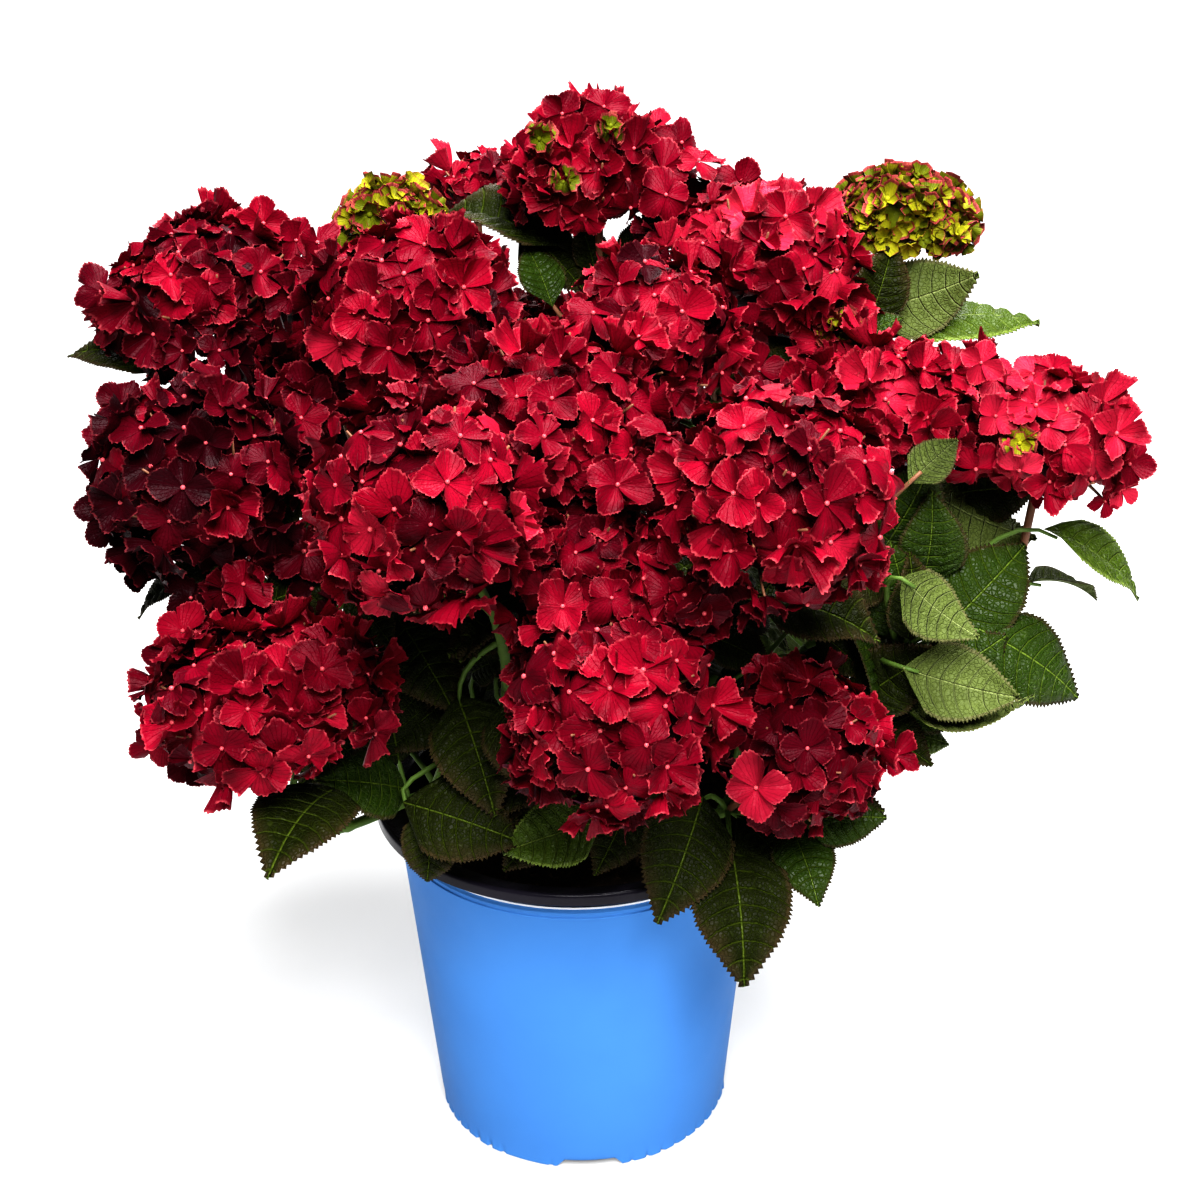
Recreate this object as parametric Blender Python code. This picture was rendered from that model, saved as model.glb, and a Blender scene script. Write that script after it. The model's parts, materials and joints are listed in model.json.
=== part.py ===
"""A mophead hydrangea in flower, standing in its nursery pot.

Units are metres, +Z is up, and the origin is the middle of the pot's flat underside.
The plant grows like the real shrub: a woody crown in the potting mix carries the canes,
each cane ends in a leafy stem that forks into shoots, and each shoot ends in one bloom.
"""

import math
import random

import bmesh
import bpy
from mathutils import Matrix, Quaternion, Vector
from mathutils.bvhtree import BVHTree

# ---------------------------------------------------------------- driving dimensions

CLEARANCE = 0.0003          # gap left between neighbouring pieces

# Nursery pot, a 2 gallon size
POT_HEIGHT = 0.203
POT_FOOT_RADIUS = 0.0843
POT_WALL_TOP_RADIUS = 0.1030
POT_WALL = 0.0015
POT_BASE = 0.005
RIM_RADIUS = 0.115
RIM_BAND = 0.0068           # height of the upright band round the rim
RIM_THICKNESS = 0.0016
RIM_LEDGE_DROP = 0.0030     # the rim's flat top lies this far under the rolled lip
FOOT_NOTCHES = 4
FOOT_NOTCH_TURN = 7.0       # degrees that the first notch stands off the front
FOOT_NOTCH_WIDTH = 0.029
FOOT_NOTCH_HEIGHT = 0.0042
FOOT_NOTCH_DEPTH = 0.0050
RIM_ROUNDING = 0.0008       # small step that breaks the rim's edges
LIP_WIDTH = 0.0036          # rolled lip at the rim's outer edge
FOOT_NOTCH_STEPS = 6        # facets over a notch's arch
FOOT_NOTCH_FULLNESS = 0.4   # under 1 the arch is fuller than a half ellipse
ROUND_STEPS = 40            # facets round the pot
MIX_STEPS = 32

# Printed sleeve round the pot
SLEEVE_THICKNESS = 0.0007
SLEEVE_BOTTOM = 0.0006
SLEEVE_TOP = 0.1925

# Potting mix
MIX_EDGE_HEIGHT = 0.1755
MIX_MIDDLE_HEIGHT = 0.1800
MIX_FLAT_RADIUS = 0.034

# Woody crown that the canes rise from
CROWN_RADIUS = 0.024
CROWN_HEIGHT = 0.020
STUB_LENGTH = 0.020
OUTER_RING = 0.021
INNER_RING = 0.008
OUTER_TILT = 48.0           # degrees from upright
INNER_TILT = 14.0
CROWN_LEVELS = (0.0, 0.45, 0.85, 1.0)       # heights of its rings, shares of its height
CROWN_WIDTHS = (1.0, 0.96, 0.78, 0.50)      # and their radii, shares of its radius
STUB_INSIDE = 0.006         # how far a stub starts inside the crown
STUB_FLARE = 1.06           # how much wider a stub is at its foot

# Canes, stems and shoots
CANE_RADIUS = 0.0043
CANE_TIP_RADIUS = 0.0036
SHOOT_RADIUS = 0.0029
TWIG_RADIUS = 0.0023
LIMB_SIDES = 6
CROWN_SIDES = 16
SHOOT_SIDES = 5
SHOOT_RINGS = 6
STEM_RINGS = 3
CANE_RINGS = 6
PIECES_OF_A_RUN = 5         # leaves may root at these many places between two rings
CANE_PULL = 0.45            # how stiffly a cane keeps the way of its stub
SHOOT_PULL = 0.30           # how stiffly a shoot keeps the way of its stem
BLOOM_PULL = 0.35           # how early it turns to the way its bloom faces
CANE_SHARE = 0.50           # the part of the way to the fork that is bare cane
FORK_SHARE = 0.56           # where a stem forks, between the crown and its blooms
STALK_LENGTH = 0.036        # flowering twig under a bloom

# Leaves
LEAF_LENGTH = 0.088
LEAF_WIDTH = 0.68           # share of the length
LEAF_THICKNESS = 0.0014
LEAF_ARCH = 0.09            # rise of the midrib over the chord, share of the length
LEAF_EDGE_DROP = 0.05       # how far the edges hang under the midrib, share of the length
PETIOLE_RADIUS = 0.0016
JOINT_SPACING = 0.019       # distance between two pairs of leaves on a stem
LEAF_SIZES = (0.70, 1.08)   # shares of the length, least and most
LEAF_DROOP = (0.25, 0.65)   # how much a blade turns down from its petiole
LEAF_TWIST = 0.6            # radians that a leaf may turn off its place round the stem
LEAF_WAYS = 5               # ways tried for each leaf before it is skipped
PETIOLE_SHARE = 0.32        # petiole's length, share of the blade's
FACING_OUTWARDS = 0.6       # how far the leaves' faces lean out from upwards
LEAF_RISE_LOW = -8.0        # degrees above the level, for the lowest and highest leaves
LEAF_RISE_HIGH = 38.0
LOW_LEAF_HEIGHT = 0.22      # where the lowest leaves root, and the span up to the highest
HIGH_LEAF_SPAN = 0.20
LEAF_CLEARANCE = 0.0005
LEAF_SHOULDER = (0.26, 0.92)    # the blade's outline: share of the length and of the half width
LEAF_FLANK = (0.60, 0.86)
LEAF_RIDGE = 0.42           # where along the blade its midrib stands highest
PETIOLE_STRAIGHTNESS = 0.20  # least cosine between a petiole and its blade
OWN_JOINT_SHARE = 0.20      # the part of a petiole that may touch its own stem

# The inside of the crown, where the leaves of the general rule have to end
LEAF_SPACE_CENTRE = Vector((0.0, 0.015, 0.290))
LEAF_SPACE = Vector((0.260, 0.245, 0.175))
LEAF_FLOOR = 0.178
FRONT_FLOOR_SLOPE = 0.60    # how fast the lowest leaves rise towards the front
OWN_SPACE_OVERLAP = 0.055   # how far a leaf may reach past the half way to the next stem

# Blooms
FLORETS = 22                # on a bloom of full size
FULL_BLOOM_RADIUS = 0.058
FLORET_ARCH = 122.0         # degrees from the bloom's top to its last florets
FLORET_HALF_WIDTH = 0.0215
FLORET_SINK = 0.86          # centre of a floret, share of the bloom's radius
SEPAL_REACH = (0.98, 1.05)  # tips of the sepals, shares of the bloom's radius
UNDERSIDE_SHARE = 0.72      # the same for the bloom's underside, where its twig enters
GREEN_FLORET_HALF_WIDTH = 0.009
GREEN_FLORETS_MORE = 2      # green heads have this many times the florets
FEWEST_FLORETS = 10
FLORETS_BY_SIZE = 1.2       # power of the bloom's radius that its florets go with
FLORET_WANDER = 0.12        # radians that a floret strays from its even place
SEPAL_SPACING = 0.45        # least distance of two sepal tips, share of a floret's half width

# name: x, y, z of the centre, radius, height as a share of the width, lean outwards
RED_BLOOMS = {
    "left_top": (-0.190, 0.020, 0.493, 0.060, 0.62, 0.30),
    "left_middle": (-0.184, -0.055, 0.412, 0.061, 0.97, 0.50),
    "left_low": (-0.151, -0.115, 0.324, 0.067, 0.65, 0.05),
    "front_left_top": (-0.080, -0.025, 0.490, 0.060, 0.76, 0.40),
    "front_left": (-0.065, -0.165, 0.441, 0.058, 0.92, 0.90),
    "front_centre": (-0.007, -0.095, 0.452, 0.056, 0.95, 0.80),
    "front_small": (0.009, -0.128, 0.398, 0.038, 0.95, 0.80),
    "middle_top": (0.040, -0.025, 0.475, 0.051, 0.90, 0.40),
    "top": (0.015, 0.095, 0.533, 0.056, 0.70, 0.05),
    "top_small": (-0.062, 0.185, 0.506, 0.026, 0.85, 0.20),
    "right_top": (0.103, 0.045, 0.493, 0.060, 0.78, 0.40),
    "front_right": (0.096, -0.150, 0.436, 0.058, 0.92, 0.90),
    "right": (0.166, -0.020, 0.436, 0.051, 0.66, 0.15),
    "far_right": (0.249, -0.015, 0.418, 0.049, 0.80, 0.12),
    "low_front": (0.018, -0.165, 0.339, 0.060, 0.92, 1.00),
    "low_right": (0.114, -0.105, 0.286, 0.049, 0.98, 0.80),
    "back_left": (-0.146, 0.120, 0.418, 0.056, 0.80, 0.50),
    "back_far_left": (-0.222, 0.065, 0.370, 0.048, 0.80, 0.50),
    "back_left_low": (-0.120, 0.190, 0.335, 0.055, 0.85, 0.70),
    "back_middle": (-0.022, 0.220, 0.385, 0.055, 0.85, 0.60),
    "middle_back": (-0.043, 0.106, 0.428, 0.042, 0.80, 0.20),
    "back_right": (0.115, 0.155, 0.440, 0.055, 0.80, 0.50),
    "back_right_low": (0.080, 0.205, 0.330, 0.054, 0.85, 0.70),
    "back_far_right": (0.185, 0.125, 0.372, 0.050, 0.80, 0.50),
}
GREEN_BLOOMS = {
    "green_right": (0.180, 0.075, 0.511, 0.040, 0.66, 0.10),
    "green_left": (-0.098, 0.080, 0.508, 0.028, 0.72, 0.20),
}
BLOOMS = {**RED_BLOOMS, **GREEN_BLOOMS}

# name: direction of its stub on the crown in degrees, ring, blooms it carries,
# tips of its shoots that have leaves only
STEMS = {
    "left_top": (146, "outer", ("left_top", "back_left"), ()),
    "left_middle": (176, "outer", ("left_middle", "back_far_left"), ()),
    "left_low": (208, "outer", ("left_low",), ()),
    "front_left": (238, "outer", ("front_left",), ()),
    "low_front": (267, "outer", ("low_front", "front_small"), ()),
    "front_right": (296, "outer", ("front_right",), ()),
    "low_right": (325, "outer", ("low_right",), ()),
    "right": (355, "outer", ("right", "far_right"), ((0.170, -0.055, 0.315),)),
    "back_right": (27, "outer", ("back_far_right",), ()),
    "back_middle": (66, "outer", ("back_right", "back_right_low"), ()),
    "back_left": (108, "outer", ("back_left_low", "back_middle"), ()),
    "inner_front": (265, "inner", ("front_centre", "middle_top"), ()),
    "inner_left": (170, "inner", ("front_left_top", "green_left"), ()),
    "inner_back": (90, "inner", ("top", "top_small", "middle_back"), ()),
    "inner_right": (10, "inner", ("right_top", "green_right"), ()),
}

# Leaves that draw the plant's outline: stem, base and tip of the blade, and where it faces
FRONT = Vector((0.15, -0.75, 0.60))
SKY = Vector((0.0, -0.15, 1.0))
EDGE = Vector((0.0, 0.30, 0.95))
OUTLINE_LEAVES = (
    ("right", (0.190, -0.050, 0.318), (0.238, -0.027, 0.360), FRONT),
    ("right", (0.203, -0.056, 0.320), (0.266, -0.060, 0.285), FRONT),
    ("right", (0.170, -0.062, 0.290), (0.235, -0.085, 0.296), FRONT),
    ("right", (0.168, -0.048, 0.272), (0.223, -0.055, 0.279), FRONT),
    ("right", (0.172, -0.062, 0.322), (0.172, -0.060, 0.369), FRONT),
    ("right", (0.155, -0.052, 0.314), (0.148, -0.052, 0.356), FRONT),
    ("right", (0.182, -0.036, 0.342), (0.184, -0.044, 0.396), FRONT),
    ("right", (0.190, -0.010, 0.371), (0.243, -0.003, 0.352), FRONT),
    ("right", (0.155, -0.045, 0.262), (0.187, -0.072, 0.254), FRONT),
    ("right", (0.164, -0.043, 0.275), (0.172, -0.045, 0.318), FRONT),
    ("right", (0.158, -0.055, 0.276), (0.142, -0.060, 0.334), SKY),
    ("right", (0.243, -0.022, 0.361), (0.301, -0.030, 0.331), SKY),
    ("right", (0.250, 0.018, 0.317), (0.293, 0.030, 0.303), EDGE),
    ("left_low", (-0.122, -0.120, 0.266), (-0.144, -0.190, 0.269), SKY),
    ("left_low", (-0.090, -0.077, 0.246), (-0.130, -0.108, 0.270), FRONT),
    ("front_left", (-0.060, -0.080, 0.302), (-0.040, -0.125, 0.258), FRONT),
    ("front_left", (-0.070, -0.092, 0.244), (-0.024, -0.122, 0.236), FRONT),
    ("left_middle", (-0.095, -0.045, 0.335), (-0.062, -0.080, 0.294), FRONT),
    ("left_top", (-0.205, 0.012, 0.443), (-0.268, 0.022, 0.457), EDGE),
    ("left_middle", (-0.190, -0.020, 0.350), (-0.232, -0.030, 0.326), SKY),
    ("low_right", (0.066, -0.085, 0.244), (0.042, -0.135, 0.200), FRONT),
    ("low_right", (0.084, -0.094, 0.222), (0.086, -0.150, 0.170), FRONT),
    ("low_right", (0.105, -0.065, 0.228), (0.163, -0.090, 0.230), FRONT),
    ("low_right", (0.112, -0.083, 0.224), (0.124, -0.124, 0.202), FRONT),
    ("low_front", (0.030, -0.070, 0.236), (0.010, -0.110, 0.213), FRONT),
    ("low_front", (-0.010, -0.080, 0.233), (-0.038, -0.104, 0.212), FRONT),
    ("inner_back", (0.002, 0.092, 0.484), (-0.072, 0.112, 0.507), SKY),
    ("inner_back", (-0.010, 0.064, 0.464), (-0.024, 0.086, 0.493), FRONT),
    ("inner_back", (0.030, 0.082, 0.476), (0.054, 0.080, 0.512), FRONT),
    ("inner_right", (0.168, 0.036, 0.467), (0.216, 0.036, 0.485), FRONT),
    ("inner_right", (0.170, 0.056, 0.452), (0.253, 0.058, 0.458), FRONT),
)

GOLDEN_ANGLE = math.pi * (3.0 - math.sqrt(5.0))
UP = Vector((0.0, 0.0, 1.0))


# ---------------------------------------------------------------- scene and materials

def empty_scene():
    for item in list(bpy.data.objects):
        bpy.data.objects.remove(item, do_unlink=True)


def make_material(name, colour, roughness, metallic=0.0):
    material = bpy.data.materials.new(name)
    material.use_nodes = True
    shader = material.node_tree.nodes["Principled BSDF"]
    shader.inputs["Base Color"].default_value = (*colour, 1.0)
    shader.inputs["Roughness"].default_value = roughness
    shader.inputs["Metallic"].default_value = metallic
    material.diffuse_color = (*colour, 1.0)
    return material


def object_from_mesh(name, mesh, material):
    body = bpy.data.objects.new(name, mesh)
    bpy.context.scene.collection.objects.link(body)
    mesh.materials.clear()
    mesh.materials.append(material)
    return body


def object_from_faces(name, points, faces, material):
    """An object from plain points and faces, with its faces turned outwards."""
    mesh = bpy.data.meshes.new(name)
    mesh.from_pydata([tuple(point) for point in points], [], faces)
    shape = bmesh.new()
    shape.from_mesh(mesh)
    bmesh.ops.recalc_face_normals(shape, faces=shape.faces)
    shape.to_mesh(mesh)
    shape.free()
    return object_from_mesh(name, mesh, material)


# ---------------------------------------------------------------- pot, sleeve and mix

def turned(name, profile, steps, material):
    """Spins a profile of (radius, height) points round the Z axis."""
    shape = bmesh.new()
    points = [shape.verts.new((radius, 0.0, height)) for radius, height in profile]
    edges = [shape.edges.new(pair) for pair in zip(points, points[1:])]
    closed = profile[0][0] > 0.0
    if closed:
        edges.append(shape.edges.new((points[-1], points[0])))
    bmesh.ops.spin(
        shape, geom=points + edges, cent=(0.0, 0.0, 0.0), axis=UP,
        angle=2.0 * math.pi, steps=steps, use_merge=True,
    )
    bmesh.ops.remove_doubles(shape, verts=shape.verts, dist=1e-6)
    bmesh.ops.recalc_face_normals(shape, faces=shape.faces)
    mesh = bpy.data.meshes.new(name)
    shape.to_mesh(mesh)
    shape.free()
    mesh.shade_smooth()
    mesh.set_sharp_from_angle(angle=math.radians(40.0))
    return object_from_mesh(name, mesh, material)


def wall_radius(height):
    """Outer radius of the pot's wall at a height."""
    share = height / POT_HEIGHT
    return POT_FOOT_RADIUS + (POT_WALL_TOP_RADIUS - POT_FOOT_RADIUS) * share


def pot_profile():
    inner_top = wall_radius(POT_HEIGHT) - POT_WALL
    band_bottom = POT_HEIGHT - RIM_BAND
    ledge = POT_HEIGHT - RIM_LEDGE_DROP
    flange = ledge - RIM_THICKNESS
    return (
        (0.0, 0.0),
        (POT_FOOT_RADIUS, 0.0),
        (wall_radius(flange), flange),
        (RIM_RADIUS - RIM_THICKNESS, flange),
        (RIM_RADIUS - RIM_THICKNESS, band_bottom),
        (RIM_RADIUS, band_bottom),
        (RIM_RADIUS, POT_HEIGHT - RIM_ROUNDING),
        (RIM_RADIUS - RIM_ROUNDING, POT_HEIGHT),
        (RIM_RADIUS - 3.0 * RIM_ROUNDING, POT_HEIGHT - 0.5 * RIM_ROUNDING),
        (RIM_RADIUS - LIP_WIDTH, ledge),
        (inner_top + RIM_ROUNDING, ledge),
        (inner_top, ledge - RIM_ROUNDING),
        (wall_radius(POT_BASE) - POT_WALL, POT_BASE),
        (0.0, POT_BASE),
    )


def sleeve_profile():
    low = wall_radius(SLEEVE_BOTTOM) + CLEARANCE
    high = wall_radius(SLEEVE_TOP) + CLEARANCE
    return (
        (high, SLEEVE_TOP),
        (high + SLEEVE_THICKNESS, SLEEVE_TOP),
        (low + SLEEVE_THICKNESS, SLEEVE_BOTTOM),
        (low, SLEEVE_BOTTOM),
    )


def mix_profile():
    floor = POT_BASE + CLEARANCE
    low = wall_radius(floor) - POT_WALL - CLEARANCE
    high = wall_radius(MIX_EDGE_HEIGHT) - POT_WALL - 2.0 * CLEARANCE
    return (
        (0.0, MIX_MIDDLE_HEIGHT),
        (MIX_FLAT_RADIUS, MIX_MIDDLE_HEIGHT),
        (high, MIX_EDGE_HEIGHT),
        (low, floor),
        (0.0, floor),
    )


def notch_cutter(angle):
    """An arched block that cuts one notch in the edge of the foot."""
    half = FOOT_NOTCH_WIDTH / 2.0
    inner = POT_FOOT_RADIUS - FOOT_NOTCH_DEPTH
    outer = POT_FOOT_RADIUS + 2.0 * FOOT_NOTCH_DEPTH
    arch = [(-half, -FOOT_NOTCH_HEIGHT), (half, -FOOT_NOTCH_HEIGHT)]
    for step in range(FOOT_NOTCH_STEPS + 1):
        turn = math.pi * step / FOOT_NOTCH_STEPS
        up = FOOT_NOTCH_HEIGHT * max(0.0, math.sin(turn)) ** FOOT_NOTCH_FULLNESS
        arch.append((half * math.cos(turn), up))
    points = [(inner, across, up) for across, up in arch]
    points += [(outer, across, up) for across, up in arch]
    count = len(arch)
    faces = [tuple(range(count)), tuple(range(2 * count - 1, count - 1, -1))]
    for k in range(count):
        after = (k + 1) % count
        faces.append((k, after, count + after, count + k))
    cutter = object_from_faces("notch", points, faces, bpy.data.materials[0])
    cutter.rotation_euler = (0.0, 0.0, angle)
    return cutter


def cut_notches(body):
    """Cuts the foot's notches and keeps the result as the object's own mesh."""
    cutters = bpy.data.collections.new("notches")
    bpy.context.scene.collection.children.link(cutters)
    first = math.radians(FOOT_NOTCH_TURN - 90.0)
    for k in range(FOOT_NOTCHES):
        cutter = notch_cutter(first + 2.0 * math.pi * k / FOOT_NOTCHES)
        bpy.context.scene.collection.objects.unlink(cutter)
        cutters.objects.link(cutter)
    apply_boolean(body, cutters, "DIFFERENCE", "EXACT")
    remove_collection(cutters)


# ---------------------------------------------------------------- fusing solids

def remove_collection(collection):
    for item in list(collection.objects):
        bpy.data.objects.remove(item, do_unlink=True)
    bpy.data.collections.remove(collection)


def apply_boolean(body, collection, operation, solver):
    boolean = body.modifiers.new("boolean", "BOOLEAN")
    boolean.operation = operation
    boolean.operand_type = "COLLECTION"
    boolean.collection = collection
    boolean.solver = solver
    graph = bpy.context.evaluated_depsgraph_get()
    result = bpy.data.meshes.new_from_object(body.evaluated_get(graph))
    body.modifiers.remove(boolean)
    body.data = result


def largest_group(shape):
    """The vertices of the largest connected body in a bmesh."""
    left = set(shape.verts)
    largest = set()
    while left:
        group = set()
        border = [left.pop()]
        while border:
            point = border.pop()
            group.add(point)
            for edge in point.link_edges:
                other = edge.other_vert(point)
                if other in left:
                    left.discard(other)
                    border.append(other)
        if len(group) > len(largest):
            largest = group
    return largest


def keep_one_closed_body(mesh):
    """Drops loose scraps, splits the faces into triangles and tells if the mesh is closed."""
    for way_to_split in ("BEAUTY", "EAR_CLIP"):
        shape = bmesh.new()
        shape.from_mesh(mesh)
        bmesh.ops.triangulate(shape, faces=shape.faces, ngon_method=way_to_split)
        largest = largest_group(shape)
        scraps = [point for point in shape.verts if point not in largest]
        bmesh.ops.delete(shape, geom=scraps, context="VERTS")
        closed = all(len(edge.link_faces) == 2 for edge in shape.edges)
        if closed:
            shape.to_mesh(mesh)
        shape.free()
        if closed:
            return True
    return False


def joined(name, solids, material, solver):
    body = object_from_faces(name, *solids[0], material)
    others = bpy.data.collections.new(name + "_parts")
    bpy.context.scene.collection.children.link(others)
    for k, (points, faces) in enumerate(solids[1:]):
        piece = object_from_faces(f"{name}_{k}", points, faces, material)
        bpy.context.scene.collection.objects.unlink(piece)
        others.objects.link(piece)
    apply_boolean(body, others, "UNION", solver)
    remove_collection(others)
    body.data.name = name
    body.data.materials.clear()
    body.data.materials.append(material)
    return body


def fuse(name, solids, material, spare=0):
    """Joins closed solids, each given as (points, faces), into one closed body.

    Where that fails, one of the last few solids, the spare ones, is left out.
    """
    for left_out in range(spare + 1):
        kept = list(solids)
        if left_out:
            kept.pop(-left_out)
        for solver in ("EXACT", "MANIFOLD"):
            body = joined(name, kept, material, solver)
            if keep_one_closed_body(body.data):
                if left_out:
                    print(name, "closes without its leaf", left_out, "from the end")
                return
            bpy.data.objects.remove(body, do_unlink=True)
    print(name, "can't be closed")


# ---------------------------------------------------------------- limbs

def side_of(direction):
    """A unit vector square to a direction."""
    helper = Vector((0.0, 1.0, 0.0)) if abs(direction.y) < 0.9 else Vector((1.0, 0.0, 0.0))
    return direction.cross(helper).normalized()


def tube(path, radii, sides, start=None, end=None):
    """A closed tube along a path, as points and faces; start and end square its ends."""
    points = []
    faces = []
    last = len(path) - 1
    across = side_of((path[1] - path[0]).normalized())
    for k, centre in enumerate(path):
        ahead = path[min(k + 1, last)] - path[max(k - 1, 0)]
        if k == 0 and start:
            ahead = start.copy()
        if k == last and end:
            ahead = end.copy()
        ahead.normalize()
        across = (across - ahead * across.dot(ahead)).normalized()
        other = ahead.cross(across)
        for side in range(sides):
            turn = 2.0 * math.pi * side / sides
            offset = across * math.cos(turn) + other * math.sin(turn)
            points.append(centre + offset * radii[k])
    for k in range(last):
        for side in range(sides):
            after = (side + 1) % sides
            low = k * sides
            high = low + sides
            faces.append((low + side, low + after, high + after, high + side))
    faces.append(tuple(reversed(range(sides))))
    faces.append(tuple(range(len(points) - sides, len(points))))
    return points, faces


def bezier(points, share):
    """Point on the curve that a list of control points draws."""
    points = [point.copy() for point in points]
    while len(points) > 1:
        points = [a.lerp(b, share) for a, b in zip(points, points[1:])]
    return points[0]


def heading_at(controls, share):
    """Direction of that curve at a share of its run."""
    return (bezier(controls[1:], share) - bezier(controls[:-1], share)).normalized()


def curve_points(controls, start, end, count):
    return [bezier(controls, start + (end - start) * k / (count - 1)) for k in range(count)]


def finer(path):
    """The same straight runs with more points on them."""
    samples = []
    for a, b in zip(path, path[1:]):
        samples += [a.lerp(b, k / PIECES_OF_A_RUN) for k in range(PIECES_OF_A_RUN)]
    return samples + [path[-1]]


def blend(first, last, count):
    return [first + (last - first) * k / (count - 1) for k in range(count)]


def bloom_centre(name):
    return Vector(BLOOMS[name][:3])


def bloom_axis(name):
    """The way a bloom faces: upwards, leaning out from the pot's axis."""
    x, y, _z, _radius, _height, lean = BLOOMS[name]
    outwards = Vector((x, y, 0.0)).normalized()
    return (UP + outwards * lean).normalized()


def bloom_foot(name):
    """The lower end of a bloom's flowering twig."""
    radius, height = BLOOMS[name][3:5]
    return bloom_centre(name) - bloom_axis(name) * (radius * height * UNDERSIDE_SHARE + STALK_LENGTH)


class Stem:
    """The run of one cane: its stub, its fork and the shoots that leave the fork."""

    def __init__(self, name):
        angle, ring, self.blooms, leafy_tips = STEMS[name]
        self.name = name
        turn = math.radians(angle)
        tilt = math.radians(OUTER_TILT if ring == "outer" else INNER_TILT)
        outwards = Vector((math.cos(turn), math.sin(turn), 0.0))
        self.heading = outwards * math.sin(tilt) + UP * math.cos(tilt)
        reach = OUTER_RING if ring == "outer" else INNER_RING
        self.root = outwards * reach + UP * (MIX_MIDDLE_HEIGHT + 0.5 * CROWN_HEIGHT)
        self.stub_tip = self.root + self.heading * STUB_LENGTH
        feet = [bloom_foot(bloom) for bloom in self.blooms]
        middle = sum(feet, Vector()) / len(feet)
        start = self.stub_tip + self.heading * CLEARANCE
        self.fork = start.lerp(middle, FORK_SHARE)
        run = (self.fork - start).length
        self.cane = [start, start + self.heading * CANE_PULL * run, self.fork]
        leaving = (self.cane[2] - self.cane[1]).normalized()
        self.shoots = {}
        for bloom, foot in zip(self.blooms, feet):
            reach = (foot - self.fork).length
            axis = bloom_axis(bloom)
            end = foot - axis * CLEARANCE
            self.shoots[bloom] = [
                self.fork,
                self.fork + leaving * SHOOT_PULL * reach,
                end - axis * BLOOM_PULL * reach,
                end,
            ]
        self.leafy = []
        for tip in leafy_tips:
            tip = Vector(tip)
            reach = (tip - self.fork).length
            self.leafy.append([
                self.fork,
                self.fork + leaving * SHOOT_PULL * reach,
                tip - UP * BLOOM_PULL * reach,
                tip,
            ])

    def stem_share(self):
        """Where the leafy stem starts on the cane's curve, past the gap."""
        run = (self.fork - self.cane[0]).length
        return CANE_SHARE + CLEARANCE / run

    def cane_tube(self):
        path = curve_points(self.cane, 0.0, CANE_SHARE, CANE_RINGS)
        radii = blend(CANE_RADIUS, CANE_TIP_RADIUS, CANE_RINGS)
        end = heading_at(self.cane, CANE_SHARE)
        return tube(path, radii, LIMB_SIDES, self.heading, end)

    def green_tubes(self):
        """The leafy stem up to the fork, and the shoots beyond it."""
        share = self.stem_share()
        low = curve_points(self.cane, share, 1.0, STEM_RINGS)
        first, *rest = self.shoots
        high = curve_points(self.shoots[first], 0.0, 1.0, SHOOT_RINGS)[1:]
        radii = blend(CANE_TIP_RADIUS, SHOOT_RADIUS, len(low) + len(high))
        start = heading_at(self.cane, share)
        tubes = [tube(low + high, radii, SHOOT_SIDES, start, bloom_axis(first))]
        for bloom in rest:
            path = curve_points(self.shoots[bloom], 0.0, 1.0, SHOOT_RINGS)
            radii = blend(SHOOT_RADIUS, TWIG_RADIUS, SHOOT_RINGS)
            tubes.append(tube(path, radii, SHOOT_SIDES, end=bloom_axis(bloom)))
        for shoot in self.leafy:
            path = curve_points(shoot, 0.0, 1.0, SHOOT_RINGS)
            radii = blend(SHOOT_RADIUS, TWIG_RADIUS, SHOOT_RINGS)
            tubes.append(tube(path, radii, SHOOT_SIDES))
        return tubes

    def green_paths(self):
        """The middles of the green tubes, which leaves grow from, without their very ends."""
        paths = [finer(curve_points(self.cane, self.stem_share(), 1.0, STEM_RINGS))[1:]]
        for shoot in [*self.shoots.values(), *self.leafy]:
            paths.append(finer(curve_points(shoot, 0.0, 1.0, SHOOT_RINGS))[2:-2])
        return paths


# ---------------------------------------------------------------- blooms

def bloom_reach(name, direction):
    """How far a bloom reaches along a direction."""
    radius, height = BLOOMS[name][3:5]
    along = direction.dot(bloom_axis(name))
    return radius * math.sqrt(1.0 - along ** 2 + (height * along) ** 2)


def bloom_walls(name):
    """Planes half way to each crowding bloom, as (point, direction) pairs."""
    walls = []
    centre = bloom_centre(name)
    for other in BLOOMS:
        if other == name:
            continue
        way = bloom_centre(other) - centre
        distance = way.length
        way.normalize()
        reach = bloom_reach(name, way)
        spare = distance - reach - bloom_reach(other, way)
        if spare < CLEARANCE:
            walls.append((centre + way * (reach + spare / 2.0 - CLEARANCE), way))
    return walls


def inside_walls(point, walls):
    for on_wall, way in walls:
        beyond = (point - on_wall).dot(way)
        if beyond > 0.0:
            point = point - way * beyond
    return point


def floret_directions(count, rng):
    """Even directions over the top of a ball, in the bloom's own axes."""
    last = math.cos(math.radians(FLORET_ARCH))
    turn = rng.uniform(0.0, 2.0 * math.pi)
    directions = []
    for k in range(count):
        up = 1.0 - (k + 0.5) / count * (1.0 - last)
        flat = math.sqrt(max(0.0, 1.0 - up * up))
        directions.append(Vector((flat * math.cos(turn), flat * math.sin(turn), up)))
        turn += GOLDEN_ANGLE + rng.uniform(-FLORET_WANDER, FLORET_WANDER)
    return directions


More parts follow.
